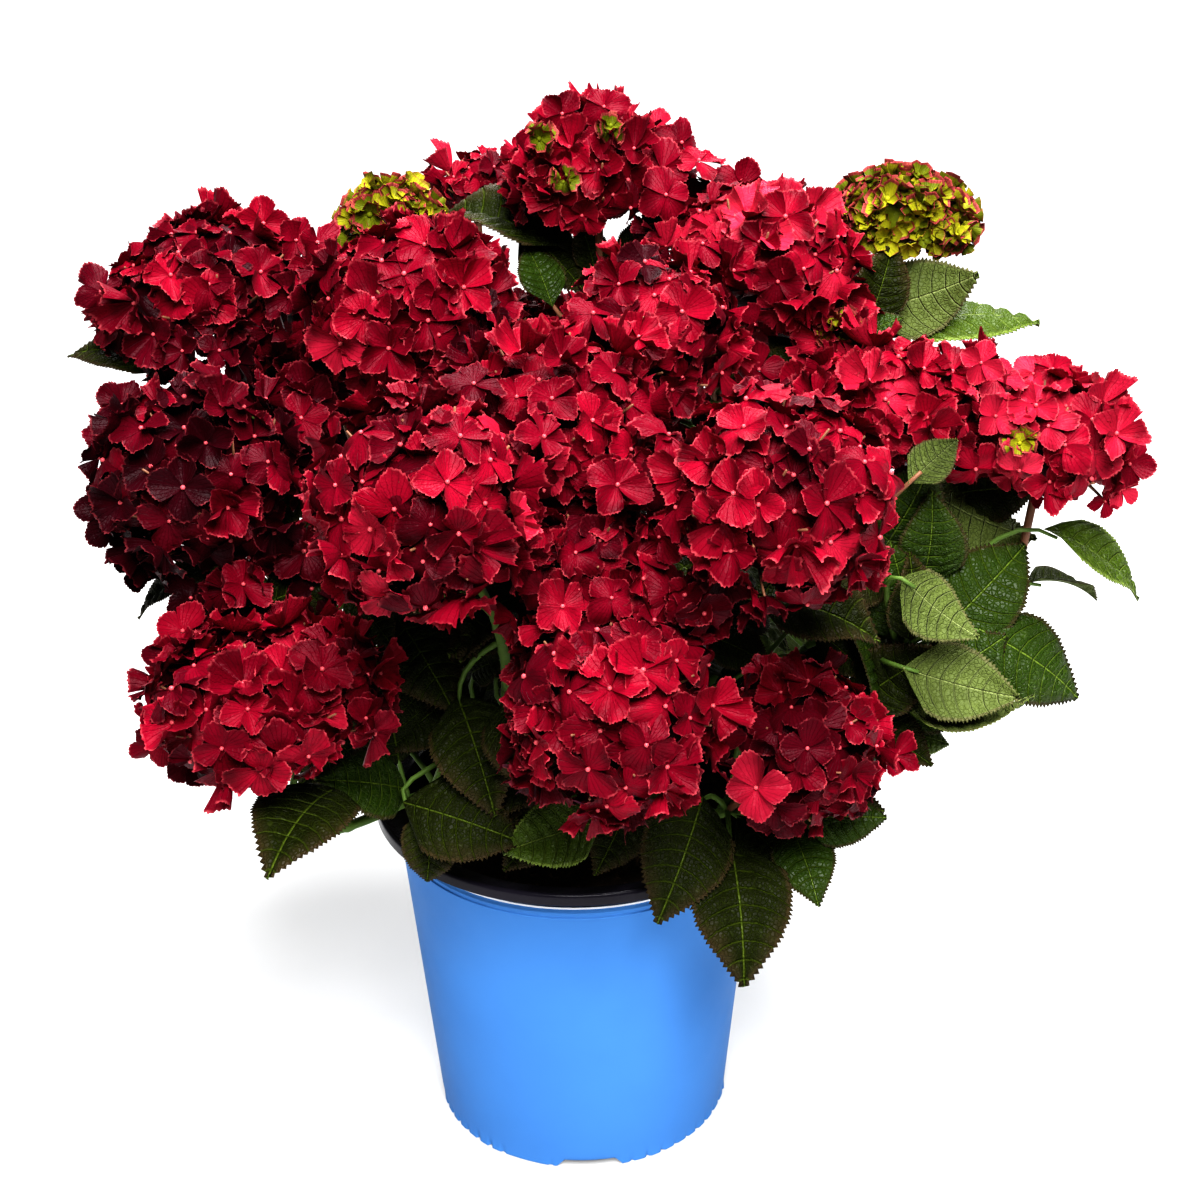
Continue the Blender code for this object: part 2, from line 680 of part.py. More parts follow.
def bloom_points(name):
    """Directions and reaches of a bloom's surface: sunk floret centres, raised sepal tips."""
    rng = random.Random(name)
    radius = BLOOMS[name][3]
    green = name in GREEN_BLOOMS
    spread = (GREEN_FLORET_HALF_WIDTH if green else FLORET_HALF_WIDTH) / radius
    count = max(FEWEST_FLORETS, round(FLORETS * (radius / FULL_BLOOM_RADIUS) ** FLORETS_BY_SIZE))
    count = GREEN_FLORETS_MORE * count if green else count
    points = [(-UP, UNDERSIDE_SHARE)]
    centres = floret_directions(count, rng)
    points.extend((direction, FLORET_SINK) for direction in centres)
    for direction in centres:
        across = side_of(direction)
        across.rotate(Matrix.Rotation(rng.uniform(0.0, math.pi), 3, direction))
        other = direction.cross(across)
        for sepal in (across, other, -across, -other):
            tip = (direction + sepal * spread).normalized()
            nearest = min((tip - near).length for near, _reach in points)
            if nearest > SEPAL_SPACING * spread:
                points.append((tip, rng.uniform(*SEPAL_REACH)))
    return points


def bloom_solids(name):
    """The round head of florets and its flowering twig."""
    height = BLOOMS[name][4]
    radius = BLOOMS[name][3]
    centre = bloom_centre(name)
    axis = bloom_axis(name)
    turn_to_axis = UP.rotation_difference(axis).to_matrix()
    walls = bloom_walls(name)
    surface = bloom_points(name)
    ball = bmesh.new()
    for direction, _reach in surface:
        ball.verts.new(direction)
    bmesh.ops.convex_hull(ball, input=ball.verts)
    ball.verts.index_update()
    faces = [tuple(vertex.index for vertex in face.verts) for face in ball.faces]
    ball.free()
    points = []
    for direction, reach in surface:
        offset = Vector((direction.x, direction.y, direction.z * height)) * radius * reach
        points.append(inside_walls(centre + turn_to_axis @ offset, walls))
    stalk = tube([bloom_foot(name), centre], [TWIG_RADIUS, TWIG_RADIUS], SHOOT_SIDES)
    return [(points, faces), stalk]


# ---------------------------------------------------------------- leaves

def leaf_solid(root, base, tip, facing, grow=0.0):
    """A blade drawn out of a three-sided petiole; grow thickens it, for touch tests."""
    along = tip - base
    length = along.length
    along.normalize()
    face = (facing - along * facing.dot(along)).normalized()
    across = along.cross(face)
    half = LEAF_WIDTH * length / 2.0 + grow

    def at(share, side, height):
        rise = 4.0 * LEAF_ARCH * share * (1.0 - share) * length
        return base + along * share * length + across * side * half + face * (rise + height)

    stalk = PETIOLE_RADIUS + grow
    thick = LEAF_THICKNESS / 2.0 + grow
    edge = -LEAF_EDGE_DROP * length
    bend = along.rotation_difference((base - root).normalized())
    points = []
    for end, share in ((root, 1.0), (base, 0.5)):
        turned_by = Quaternion().slerp(bend, share)
        side = turned_by @ across * stalk
        up = turned_by @ face * stalk
        points += [end - side + 0.5 * up, end + side + 0.5 * up, end - up]
    shoulder, shoulder_width = LEAF_SHOULDER
    flank, flank_width = LEAF_FLANK
    points += [
        at(shoulder, -shoulder_width, edge), at(flank, -flank_width, edge), at(1.0, 0.0, 0.0),
        at(flank, flank_width, edge), at(shoulder, shoulder_width, edge),
        at(LEAF_RIDGE, 0.0, thick), at(LEAF_RIDGE, 0.0, -thick),
    ]
    faces = [(0, 1, 2), (0, 3, 4, 1), (1, 4, 5, 2), (2, 5, 3, 0)]
    upper = (3, 6, 7, 8, 9, 10, 4)
    lower = (5, 3, 6, 7, 8, 9, 10, 4)
    faces += [(11, near, far) for near, far in zip(upper, upper[1:] + upper[:1])]
    faces += [(12, far, near) for near, far in zip(lower, lower[1:] + lower[:1])]
    return points, faces


def tree_of(solids):
    """A tree for touch tests from several solids."""
    points = []
    faces = []
    for solid_points, solid_faces in solids:
        shift = len(points)
        points.extend(solid_points)
        faces.extend(tuple(k + shift for k in face) for face in solid_faces)
    return BVHTree.FromPolygons(points, faces)


def nearest_on(paths, point):
    return min((sample for path in paths for sample in path), key=lambda s: (s - point).length)


def root_for(paths, base, tip):
    """The nearest place on a stem from which a petiole runs on into its blade."""
    along = (tip - base).normalized()

    def cost(sample):
        petiole = base - sample
        bent = petiole.dot(along) < PETIOLE_STRAIGHTNESS * petiole.length
        return petiole.length + (LEAF_LENGTH if bent else 0.0)

    return min((sample for path in paths for sample in path), key=cost)


def own_space(name, point, centre_lines):
    """Whether a point lies nearer to its own stem than to the others, or nearly so."""
    own = (nearest_on(centre_lines[name], point) - point).length
    for other, paths in centre_lines.items():
        if other != name and (nearest_on(paths, point) - point).length < own - OWN_SPACE_OVERLAP:
            return False
    return True


def in_leaf_space(point):
    offset = point - LEAF_SPACE_CENTRE
    scaled = Vector((offset.x / LEAF_SPACE.x, offset.y / LEAF_SPACE.y, offset.z / LEAF_SPACE.z))
    floor = LEAF_FLOOR + FRONT_FLOOR_SLOPE * max(0.0, -point.y)
    return scaled.length < 1.0 and point.z > floor


def leaf_on_joint(root, ahead, turn, rise, rng):
    """A leaf that leaves its joint at a turn round the stem and a rise over the level."""
    out = side_of(ahead)
    out.rotate(Matrix.Rotation(turn, 3, ahead))
    heading = (out * math.cos(rise) + ahead * math.sin(rise)).normalized()
    blade = LEAF_LENGTH * rng.uniform(*LEAF_SIZES)
    base = root + heading * PETIOLE_SHARE * blade
    droop = Vector((0.0, 0.0, -rng.uniform(*LEAF_DROOP)))
    return root, base, base + (heading + droop).normalized() * blade


def rule_leaves(stem):
    """Opposite pairs along a stem's green paths, each pair square to the last.

    Each leaf comes as a few ways to grow, of which the first that fits is taken.
    """
    rng = random.Random(stem.name)
    for path in stem.green_paths():
        length = sum((b - a).length for a, b in zip(path, path[1:]))
        joints = max(1, round(length / JOINT_SPACING))
        turn = rng.uniform(0.0, math.pi)
        for joint in range(joints):
            share = (joint + 0.5) / joints
            k = min(int(share * (len(path) - 1)), len(path) - 2)
            ahead = (path[k + 1] - path[k]).normalized()
            turn += math.pi / 2.0
            high = min(1.0, max(0.0, (path[k].z - LOW_LEAF_HEIGHT) / HIGH_LEAF_SPAN))
            rise = math.radians(LEAF_RISE_LOW + (LEAF_RISE_HIGH - LEAF_RISE_LOW) * high)
            for half_turn in (0.0, math.pi):
                ways = []
                for _way in range(LEAF_WAYS):
                    twist = half_turn + rng.uniform(-LEAF_TWIST, LEAF_TWIST)
                    ways.append(leaf_on_joint(path[k], ahead, turn + twist, rise, rng))
                yield ways


def grow_leaves(stems, obstacles):
    """Gives each stem its leaves; one that would touch something is skipped."""
    centre_lines = {name: stem.green_paths() for name, stem in stems.items()}
    grown = {name: [] for name in stems}

    def try_leaf(name, root, base, tip, facing, may_touch_own):
        joint = root.lerp(base, OWN_JOINT_SHARE)
        whole = tree_of([leaf_solid(root, base, tip, facing, LEAF_CLEARANCE)])
        clear_of_joint = tree_of([leaf_solid(joint, base, tip, facing, LEAF_CLEARANCE)])
        for owner, kind, tree in obstacles:
            if owner == name and (may_touch_own or kind == "limb"):
                continue
            tested = clear_of_joint if owner == name else whole
            if tested.overlap(tree):
                return False
        solid = leaf_solid(root, base, tip, facing)
        obstacles.append((name, "leaf", tree_of([solid])))
        grown[name].append(solid)
        return True

    for name, base, tip, facing in OUTLINE_LEAVES:
        base = Vector(base)
        tip = Vector(tip)
        root = root_for(centre_lines[name], base, tip)
        if not try_leaf(name, root, base, tip, facing, True):
            print("outline leaf skipped:", name, tuple(base), tuple(tip))
    for name, stem in stems.items():
        for ways in rule_leaves(stem):
            for root, base, tip in ways:
                in_crown = in_leaf_space(tip) and in_leaf_space(base)
                if not in_crown or not own_space(name, base.lerp(tip, 0.5), centre_lines):
                    continue
                facing = UP + Vector((base.x, base.y, 0.0)).normalized() * FACING_OUTWARDS
                if try_leaf(name, root, base, tip, facing, False):
                    break
    return grown


# ---------------------------------------------------------------- the whole plant

def build_pot():
    black = make_material("pot_black", (0.012, 0.012, 0.016), 0.32)
    blue = make_material("sleeve_blue", (0.05, 0.26, 0.84), 0.45)
    brown = make_material("potting_mix", (0.045, 0.028, 0.018), 0.95)
    pot = turned("pot", pot_profile(), ROUND_STEPS, black)
    cut_notches(pot)
    sleeve = turned("pot_sleeve", sleeve_profile(), ROUND_STEPS, blue)
    cut_notches(sleeve)
    for body, material in ((pot, black), (sleeve, blue)):
        body.data.materials.clear()
        body.data.materials.append(material)
        keep_one_closed_body(body.data)
    turned("potting_mix", mix_profile(), MIX_STEPS, brown)


def crown_solids(stems):
    """A low woody boss with a stub for each cane."""
    foot = MIX_MIDDLE_HEIGHT + CLEARANCE
    path = [Vector((0.0, 0.0, foot + level * CROWN_HEIGHT)) for level in CROWN_LEVELS]
    radii = [CROWN_RADIUS * share for share in CROWN_WIDTHS]
    solids = [tube(path, radii, CROWN_SIDES)]
    for stem in stems.values():
        inside = stem.root - stem.heading * STUB_INSIDE
        radii = [CANE_RADIUS * STUB_FLARE, CANE_RADIUS]
        solids.append(tube([inside, stem.stub_tip], radii, LIMB_SIDES))
    return solids


def build_plant():
    bark = make_material("bark", (0.16, 0.12, 0.07), 0.80)
    leaf_green = make_material("leaf", (0.040, 0.110, 0.022), 0.50)
    petal_red = make_material("petal_red", (0.50, 0.010, 0.030), 0.55)
    petal_green = make_material("petal_green", (0.36, 0.42, 0.06), 0.60)
    stems = {name: Stem(name) for name in STEMS}
    fuse("crown", crown_solids(stems), bark)
    obstacles = [(None, "limb", tree_of(crown_solids(stems)))]
    for name, stem in stems.items():
        points, faces = stem.cane_tube()
        cane = object_from_faces("cane_" + name, points, faces, bark)
        cane.data.shade_smooth()
        cane.data.set_sharp_from_angle(angle=math.radians(70.0))
        obstacles.append((None, "limb", tree_of([(points, faces)])))
    for name, stem in stems.items():
        obstacles.append((name, "limb", tree_of(stem.green_tubes())))
    for name in BLOOMS:
        solids = bloom_solids(name)
        fuse("bloom_" + name, solids, petal_green if name in GREEN_BLOOMS else petal_red)
        obstacles.append((None, "bloom", tree_of(solids)))
    pot = bpy.data.objects["pot"]
    pot_faces = [tuple(face.vertices) for face in pot.data.polygons]
    pot_points = [vertex.co.copy() for vertex in pot.data.vertices]
    obstacles.append((None, "pot", tree_of([(pot_points, pot_faces)])))
    grown = grow_leaves(stems, obstacles)
    for name, stem in stems.items():
        solids = stem.green_tubes() + grown[name]
        fuse("leaves_" + name, solids, leaf_green, len(grown[name]))
        print(name, "leaves:", len(grown[name]))


empty_scene()
build_pot()
build_plant()
total = 0
for body in bpy.data.objects:
    faces = sum(len(face.vertices) - 2 for face in body.data.polygons)
    total += faces
    print(body.name, "triangles", faces)
print("triangles in all", total)
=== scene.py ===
# %% [markdown]
# # A mophead hydrangea in its nursery pot
# This notebook dresses a model whose plain solids already have the right size and place. The
# solids come first, as one fixed frame. Each step below then makes one piece of the real plant
# or its pot, gives it a finish, and lets it stand for the solids that it hides. All lengths
# are in metres, +Z is up, and the front of the plant looks towards -Y.

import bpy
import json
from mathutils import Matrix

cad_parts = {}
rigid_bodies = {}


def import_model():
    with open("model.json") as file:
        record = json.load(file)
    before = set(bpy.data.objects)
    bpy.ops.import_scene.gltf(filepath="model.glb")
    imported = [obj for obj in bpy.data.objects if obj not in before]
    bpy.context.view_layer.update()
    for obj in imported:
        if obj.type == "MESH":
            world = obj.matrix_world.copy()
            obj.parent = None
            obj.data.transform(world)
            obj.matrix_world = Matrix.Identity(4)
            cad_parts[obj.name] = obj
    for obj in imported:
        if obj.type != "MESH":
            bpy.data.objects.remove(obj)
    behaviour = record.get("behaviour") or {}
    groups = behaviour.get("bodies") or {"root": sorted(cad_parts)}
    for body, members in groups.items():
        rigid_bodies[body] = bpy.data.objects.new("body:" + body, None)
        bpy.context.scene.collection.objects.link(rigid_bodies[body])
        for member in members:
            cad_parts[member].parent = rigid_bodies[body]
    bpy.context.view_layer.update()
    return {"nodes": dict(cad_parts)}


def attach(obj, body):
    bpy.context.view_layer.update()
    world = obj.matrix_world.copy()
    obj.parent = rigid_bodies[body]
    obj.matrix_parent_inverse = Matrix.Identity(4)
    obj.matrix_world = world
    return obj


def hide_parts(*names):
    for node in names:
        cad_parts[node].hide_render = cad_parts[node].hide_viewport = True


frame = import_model()

# %% Tools used below
import json
import math
import random
from collections import namedtuple

import bmesh
import bpy
import numpy as np
from mathutils import Matrix, Vector, noise
from mathutils.kdtree import KDTree

UP = Vector((0.0, 0.0, 1.0))
FULL_TURN = 2.0 * math.pi
print("Blender", bpy.app.version_string)

# %% [markdown]
# ## Camera
# The plant is seen from a little above, from about one metre. A long lens keeps the pot's
# sides nearly upright. The camera is aimed by its own turns: it looks down by 24.7 degrees and
# leans by less than one degree.

# %% Camera
CAMERA_PLACE = (0.0137, -0.990, 0.7726)
LENS_MM, SENSOR_MM = 60.0, 36.0
LOOKS_DOWN, LEANS = 24.66, -0.73

bpy.ops.object.camera_add(
    location=CAMERA_PLACE, rotation=(math.radians(90.0 - LOOKS_DOWN), 0.0, 0.0),
)
camera = bpy.context.object
camera.name = "camera"
camera.rotation_euler.rotate_axis("Z", math.radians(LEANS))
camera.data.sensor_width = SENSOR_MM
camera.data.lens = LENS_MM
bpy.context.scene.camera = camera
print("camera at", tuple(round(v, 3) for v in camera.location))

# %% [markdown]
# ## Floor and light
# A product picture has a pale floor with no edge in view, so the floor is one wide plane. Two
# broad soft boxes light the plant, one in front and above, and one higher up on the right. A
# third hangs behind it and lights the far floor. A weak white sky keeps the shade open.

# %% Floor and light
FLOOR_SIZE = 40.0
PLANT_MIDDLE, FAR_FLOOR = (0.0, 0.0, 0.32), (0.0, 4.0, 0.0)
SKY_STRENGTH = 0.14
# name: place, size in metres, strength in watts and where it is aimed
SOFT_BOXES = {
    "key_light": ((0.15, -1.35, 1.85), 0.9, 76.0, PLANT_MIDDLE),
    "top_light": ((0.50, 0.10, 2.45), 0.9, 86.0, PLANT_MIDDLE),
    "floor_light": ((0.0, 4.6, 3.2), 3.0, 220.0, FAR_FLOOR),
}

bpy.ops.object.select_all(action="DESELECT")
bpy.ops.mesh.primitive_plane_add(size=FLOOR_SIZE, location=(0.0, 0.0, 0.0))
floor = bpy.context.object
floor.name = "floor"
for name, (place, size, watts, aim) in SOFT_BOXES.items():
    bpy.ops.object.light_add(type="AREA", location=place)
    box = bpy.context.object
    box.name = name
    box.data.shape = "SQUARE"
    box.data.size = size
    box.data.energy = watts
    box.rotation_euler = (Vector(aim) - Vector(place)).to_track_quat("-Z", "Y").to_euler()
sky = bpy.data.worlds.new("sky")
sky.use_nodes = True
sky.node_tree.nodes["Background"].inputs["Color"].default_value = (1.0, 1.0, 1.0, 1.0)
sky.node_tree.nodes["Background"].inputs["Strength"].default_value = SKY_STRENGTH
bpy.context.scene.world = sky
bpy.context.scene.view_settings.view_transform = "Standard"
bpy.context.scene.view_settings.look = "High Contrast"
print("lights:", sum(item.type == "LIGHT" for item in bpy.data.objects))

# %% [markdown]
# ## Writing finishes as formulas
# A material's nodes are easier to read as sums. `Value` wraps the output of a node, so that
# `0.4 + 0.2 * value` adds the Math nodes by itself. `Finish` holds one material. Its `node`
# method makes any other node from its type, its settings and its inputs. A colour starts as a
# blend of two tones, other colours are laid over it, and `close` feeds it to the shader.

# %% A small language for materials
MIX_MASK, MIX_FIRST, MIX_SECOND, MIX_RESULT = 0, 6, 7, 2     # a Mix node's sockets for colours


class Value:
    """A number or colour that a material works out."""

    def __init__(self, finish, socket):
        self.finish = finish
        self.socket = socket

    def _math(self, operation, first, second):
        return self.finish.node("ShaderNodeMath", {"operation": operation}, {0: first, 1: second})

    def __add__(self, other):
        return self._math("ADD", self, other)

    def __mul__(self, other):
        return self._math("MULTIPLY", self, other)

    def __sub__(self, other):
        return self._math("SUBTRACT", self, other)

    def __rsub__(self, other):
        return self._math("SUBTRACT", other, self)

    def __abs__(self):
        return self.finish.node("ShaderNodeMath", {"operation": "ABSOLUTE"}, {0: self})

    __radd__ = __add__
    __rmul__ = __mul__


class Finish:
    """One material, with a Principled shader that its formulas feed."""

    def __init__(self, name, roughness, **fixed):
        self.material = bpy.data.materials.new(name)
        self.material.use_nodes = True
        self.tree = self.material.node_tree
        self.colour = None
        self.feed(Roughness=roughness, **fixed)

    def node(self, kind, settings=None, inputs=None, output=0):
        made = self.tree.nodes.new(kind)
        for key, value in (settings or {}).items():
            setattr(made, key, value)
        for key, value in (inputs or {}).items():
            self.connect(value, made.inputs[key])
        return Value(self, made.outputs[output])

    def connect(self, value, socket):
        if isinstance(value, Value):
            self.tree.links.new(value.socket, socket)
        else:
            socket.default_value = value

    def feed(self, **sockets):
        shader = self.tree.nodes["Principled BSDF"]
        for socket, value in sockets.items():
            self.connect(value, shader.inputs[socket.replace("_", " ")])

    def place(self):
        return self.node("ShaderNodeTexCoord", output="Object")

    def grain(self, scale, detail=3.0, stretch=(1.0, 1.0, 1.0)):
        """Noise on the object's own coordinates, finer along some axes where stretched."""
        where = self.node("ShaderNodeMapping", {"vector_type": "POINT"},
                          {"Vector": self.place(), "Scale": stretch})
        return self.node("ShaderNodeTexNoise", {},
                         {"Vector": where, "Scale": scale, "Detail": detail})

    def own_place(self):
        """Where a point lies on its own sepal or leaf: three numbers that the mesh stores."""
        stored = self.node("ShaderNodeAttribute", {"attribute_name": "own_place"}, {}, "Vector")
        return [self.node("ShaderNodeSeparateXYZ", {}, {0: stored}, axis) for axis in range(3)]

    def step(self, value, low, high):
        """0 below low and 1 above high, with a straight ramp between them."""
        return self.node("ShaderNodeMapRange", {}, {0: value, 1: low, 2: high})

    def rays(self, across, count, thin, wobble):
        """Fine lines, so many in a width of 1: 1 on a line and 0 between two lines."""
        swing = self.node("ShaderNodeMath", {"operation": "SINE"},
                          {0: across * (math.pi * count) + wobble})
        return 1.0 - self.step(abs(swing), 0.0, thin)

    def blend(self, mask, first, second):
        """A colour that goes from first to second as the mask goes from 0 to 1."""
        first, second = ((*part, 1.0) if isinstance(part, tuple) else part
                         for part in (first, second))
        sockets = {MIX_MASK: mask, MIX_FIRST: first, MIX_SECOND: second}
        self.colour = self.node("ShaderNodeMix", {"data_type": "RGBA"}, sockets, MIX_RESULT)

    def mottle(self, mask, colour, spread):
        """A colour, made darker and lighter by the spread."""
        self.blend(mask, scaled(colour, 1.0 - spread), scaled(colour, 1.0 + spread))

    def layer(self, mask, colour):
        """Lays a colour over the one so far, where the mask is 1."""
        self.blend(mask, self.colour, colour)

    def close(self, height=None, depth=0.0):
        """Feeds the colour to the shader, and a relief of some depth where a height is given."""
        self.feed(Base_Color=self.colour)
        if height is not None:
            bump = self.node("ShaderNodeBump", {}, {"Height": height, "Distance": depth})
            self.feed(Normal=bump)
        return self.material


def scaled(colour, factor):
    return tuple(min(1.0, part * factor) for part in colour)


def plain_finish(name, roughness, tones, grain, relief=None, dullness=None, **fixed):
    """Two tones mixed by noise, with a relief and a dullness that come from noise too."""
    finish = Finish(name, roughness, **fixed)
    finish.blend(finish.grain(*grain), *tones)
    if dullness:
        least, more, *spots = dullness
        finish.feed(Roughness=least + more * finish.grain(*spots))
    if not relief:
        return finish.close()
    depth, *bumps = relief
    return finish.close(finish.grain(*bumps), depth)


floor.data.materials.append(plain_finish(
    "pale_floor", 0.6, ((0.40, 0.40, 0.40), (0.43, 0.43, 0.43)), (2.0,),
    Emission_Color=(1.0, 1.0, 1.0, 1.0), Emission_Strength=0.28,
))
print("first finish:", floor.data.materials[0].name)

# %% [markdown]
# ## Finishes of the flowers
# A hydrangea's show comes from its sepals: four broad leaf-like flaps round a tiny bud. Each is
# velvety, in crimson that goes to wine in places, with darker rays and a thin pale edge, which is
# partly its own colour and partly a painted highlight along the rim. Rays and edge have to follow
# each sepal, so every point of a sepal stores its own place on it, and the finish draws them from
# that. There are six tones, and each is a material of its own. They are partly the heads' own
# tones and partly painted light and shade: heads in the light get the brighter tones, heads in
# shade the darker ones, and the edge is less pale on the darker tones.

# %% Sepal finishes
# From dark to bright. The tone a floret gets is partly its own and partly painted light and
# shade.
SEPAL_TONES = {
    "maroon": (0.030, 0.0005, 0.0040),
    "wine": (0.080, 0.0007, 0.0080),
    "crimson": (0.150, 0.0010, 0.0130),
    "scarlet": (0.235, 0.0028, 0.0200),
    "rose": (0.330, 0.0115, 0.0360),
    "cherry": (0.510, 0.0280, 0.0640),
}
SEPAL_EDGE = (0.50, 0.085, 0.100)
# name: colour and edge of the young florets
YOUNG_TONES = {
    "lime": ((0.340, 0.330, 0.018), (0.30, 0.09, 0.045)),
    "moss": ((0.130, 0.150, 0.008), (0.26, 0.08, 0.045)),
    "rose": ((0.290, 0.060, 0.048), SEPAL_EDGE),
}
SEPAL_SPREAD = 0.16
SEPAL_RAYS, RAY_WIDTH, RAY_SWAY = 4.0, 0.26, 2.4
EDGE_FROM, EDGE_FULL = 0.940, 0.985
LEAST_PALE = 0.25               # how pale the edge is on the darkest tone


def petal_finish(name, colour, edge):
    """A sepal's finish, from measures across it and along it from base to tip."""
    finish = Finish(
        name, 0.40, Specular_IOR_Level=0.07, Sheen_Weight=0.03, Sheen_Roughness=0.40,
        Sheen_Tint=(1.0, 0.30, 0.36, 1.0),
    )
    across, along, _unused = finish.own_place()
    mottling = finish.grain(160.0, 2.0)
    finish.mottle(mottling, colour, SEPAL_SPREAD)
    finish.layer(finish.step(along, 0.30, 1.0) * 0.45, scaled(colour, 0.55))     # dark to the tip
    rays = finish.rays(across, SEPAL_RAYS, RAY_WIDTH, RAY_SWAY * mottling)
    finish.layer(rays * (0.30 - 0.14 * along), scaled(colour, 0.30))             # fine rays
    patches = finish.step(finish.grain(48.0, 2.0), 0.52, 0.68)
    finish.layer(patches * (0.25 + 0.50 * along), scaled(colour, 0.25))          # dark patches
    # The thin pale edge is partly the rim's own paler colour and partly a painted highlight where
    # it catches the light. Noise breaks it up.
    edge_breaks = finish.step(finish.grain(260.0, 1.0), 0.40, 0.58)
    finish.layer(finish.step(along, EDGE_FROM, EDGE_FULL) * (0.15 + 0.70 * edge_breaks), edge)
    return finish.close(finish.grain(800.0, 2.0) - 0.5 * rays, 0.0004)


def skin_finish(name, colour, roughness=0.5):
    """A stalk, a stem or a bud: one colour with soft blotches."""
    return plain_finish(name, roughness, (scaled(colour, 0.70), scaled(colour, 1.30)),
                        (110.0, 3.0), (0.0003, 500.0, 3.0), Specular_IOR_Level=0.25)


RED_FINISHES = []
# The edge is paler on the brighter tones, so the painted highlight follows the painted light.
for k, (name, tone) in enumerate(SEPAL_TONES.items()):
    pale = LEAST_PALE + (1.0 - LEAST_PALE) * k / (len(SEPAL_TONES) - 1)
    edge = tuple(dark + (light - dark) * pale for dark, light in zip(tone, SEPAL_EDGE))
    RED_FINISHES.append(petal_finish("sepal_" + name, tone, edge))
RED_FINISHES.append(skin_finish("sepal_eye", (0.56, 0.090, 0.110), 0.35))
YOUNG_FINISHES = [petal_finish("young_" + name, *tones) for name, tones in YOUNG_TONES.items()]
print("sepal finishes:", len(RED_FINISHES) + len(YOUNG_FINISHES))

# %% [markdown]
# ## Finishes of the leaves
# The blade is a dark, slightly shiny green, paler along its sunk veins, and brown purple at its
# teeth on the older leaves. The blade comes in three greens, which are painted light and shade as
# well as the leaves' own tones: yellower for leaves in the light, dark for leaves in shade. Its
# underside is a dull grey green. The finish draws the veins from each point's own place on its
# leaf, so that they are fine lines even though the mesh is coarse.

# %% Leaf finishes
VEIN_START, VEIN_SPACING = 0.11, 0.12     # of the side veins, as shares of a leaf
VEIN_WIDTH = 0.26
MIDRIB = (0.004, 0.012)                   # half its width at full strength and where it ends
PURPLE_EDGE = (0.050, 0.034, 0.014)
# The deep green is painted shade and the lit green painted light, laid over the leaves' own
# differences.
# name: blade, veins, teeth, roughness, gloss and how much purple runs into the blade
LEAF_TONES = {
    "deep": ((0.0105, 0.0142, 0.0012), (0.085, 0.120, 0.014), PURPLE_EDGE, 0.50, 0.13, 0.8),
    "mid": ((0.020, 0.042, 0.0022), (0.120, 0.180, 0.022), PURPLE_EDGE, 0.46, 0.24, 0.2),
    "lit_green": ((0.044, 0.074, 0.005), (0.170, 0.230, 0.045), (0.170, 0.230, 0.045),
              0.46, 0.24, 0.0),
    "under": ((0.085, 0.110, 0.026), (0.20, 0.24, 0.08), (0.10, 0.09, 0.04), 0.62, 0.20, 0.0),
}


def leaf_finish(name, colour, vein, teeth, roughness, gloss, purple):
    """A blade whose side veins, midrib and net of fine veins are sunk and paler."""
    finish = Finish(name, roughness, Specular_IOR_Level=gloss)
    across, row, aside = finish.own_place()
    across, aside = abs(across), abs(aside)
    ribs = finish.rays(row, 1.0 / VEIN_SPACING, VEIN_WIDTH, -math.pi * VEIN_START / VEIN_SPACING)
    ribs = ribs * (1.0 - 0.3 * across)
    midrib = 1.0 - finish.step(aside, *MIDRIB)
    cells = finish.node("ShaderNodeTexVoronoi", {"feature": "DISTANCE_TO_EDGE"},
                        {"Vector": finish.place(), "Scale": 460.0})
    net = 1.0 - finish.step(cells, 0.0, 0.16)
    finish.mottle(finish.grain(90.0, 3.0), colour, 0.28)
    finish.layer(net * 0.16, vein)
    towards_tip = 0.6 * row + 0.6 * across + 0.6 * finish.grain(30.0, 2.0)
    finish.layer(finish.step(towards_tip, 0.95, 1.45) * purple, PURPLE_EDGE)
    finish.layer(finish.step(across, 0.90, 0.97) * 0.75, teeth)
    finish.layer(finish.step(ribs * 0.85 + midrib, 0.0, 1.0), vein)
    return finish.close(
        0.2 * finish.grain(420.0, 2.0) - 0.4 * net - 1.4 * ribs - 1.4 * midrib, 0.0011,
    )


LEAF_FINISHES = [leaf_finish("leaf_" + name, *row) for name, row in LEAF_TONES.items()]
STEM_FINISHES = [skin_finish("stem_green", (0.090, 0.150, 0.030)),
                 skin_finish("stem_flushed", (0.200, 0.090, 0.050))]
print("leaf and stem finishes:", len(LEAF_FINISHES) + len(STEM_FINISHES))

# %% [markdown]
# ## Finishes of the bark, the pot and the mix
# The old canes have thin grey-brown bark with fissures that run along them, so its grain is
# squeezed round the cane. The pot is black plastic with a low gloss. Its sleeve is a printed
# sheet, bright blue, a little darker where it has been handled. The mix is damp peat.

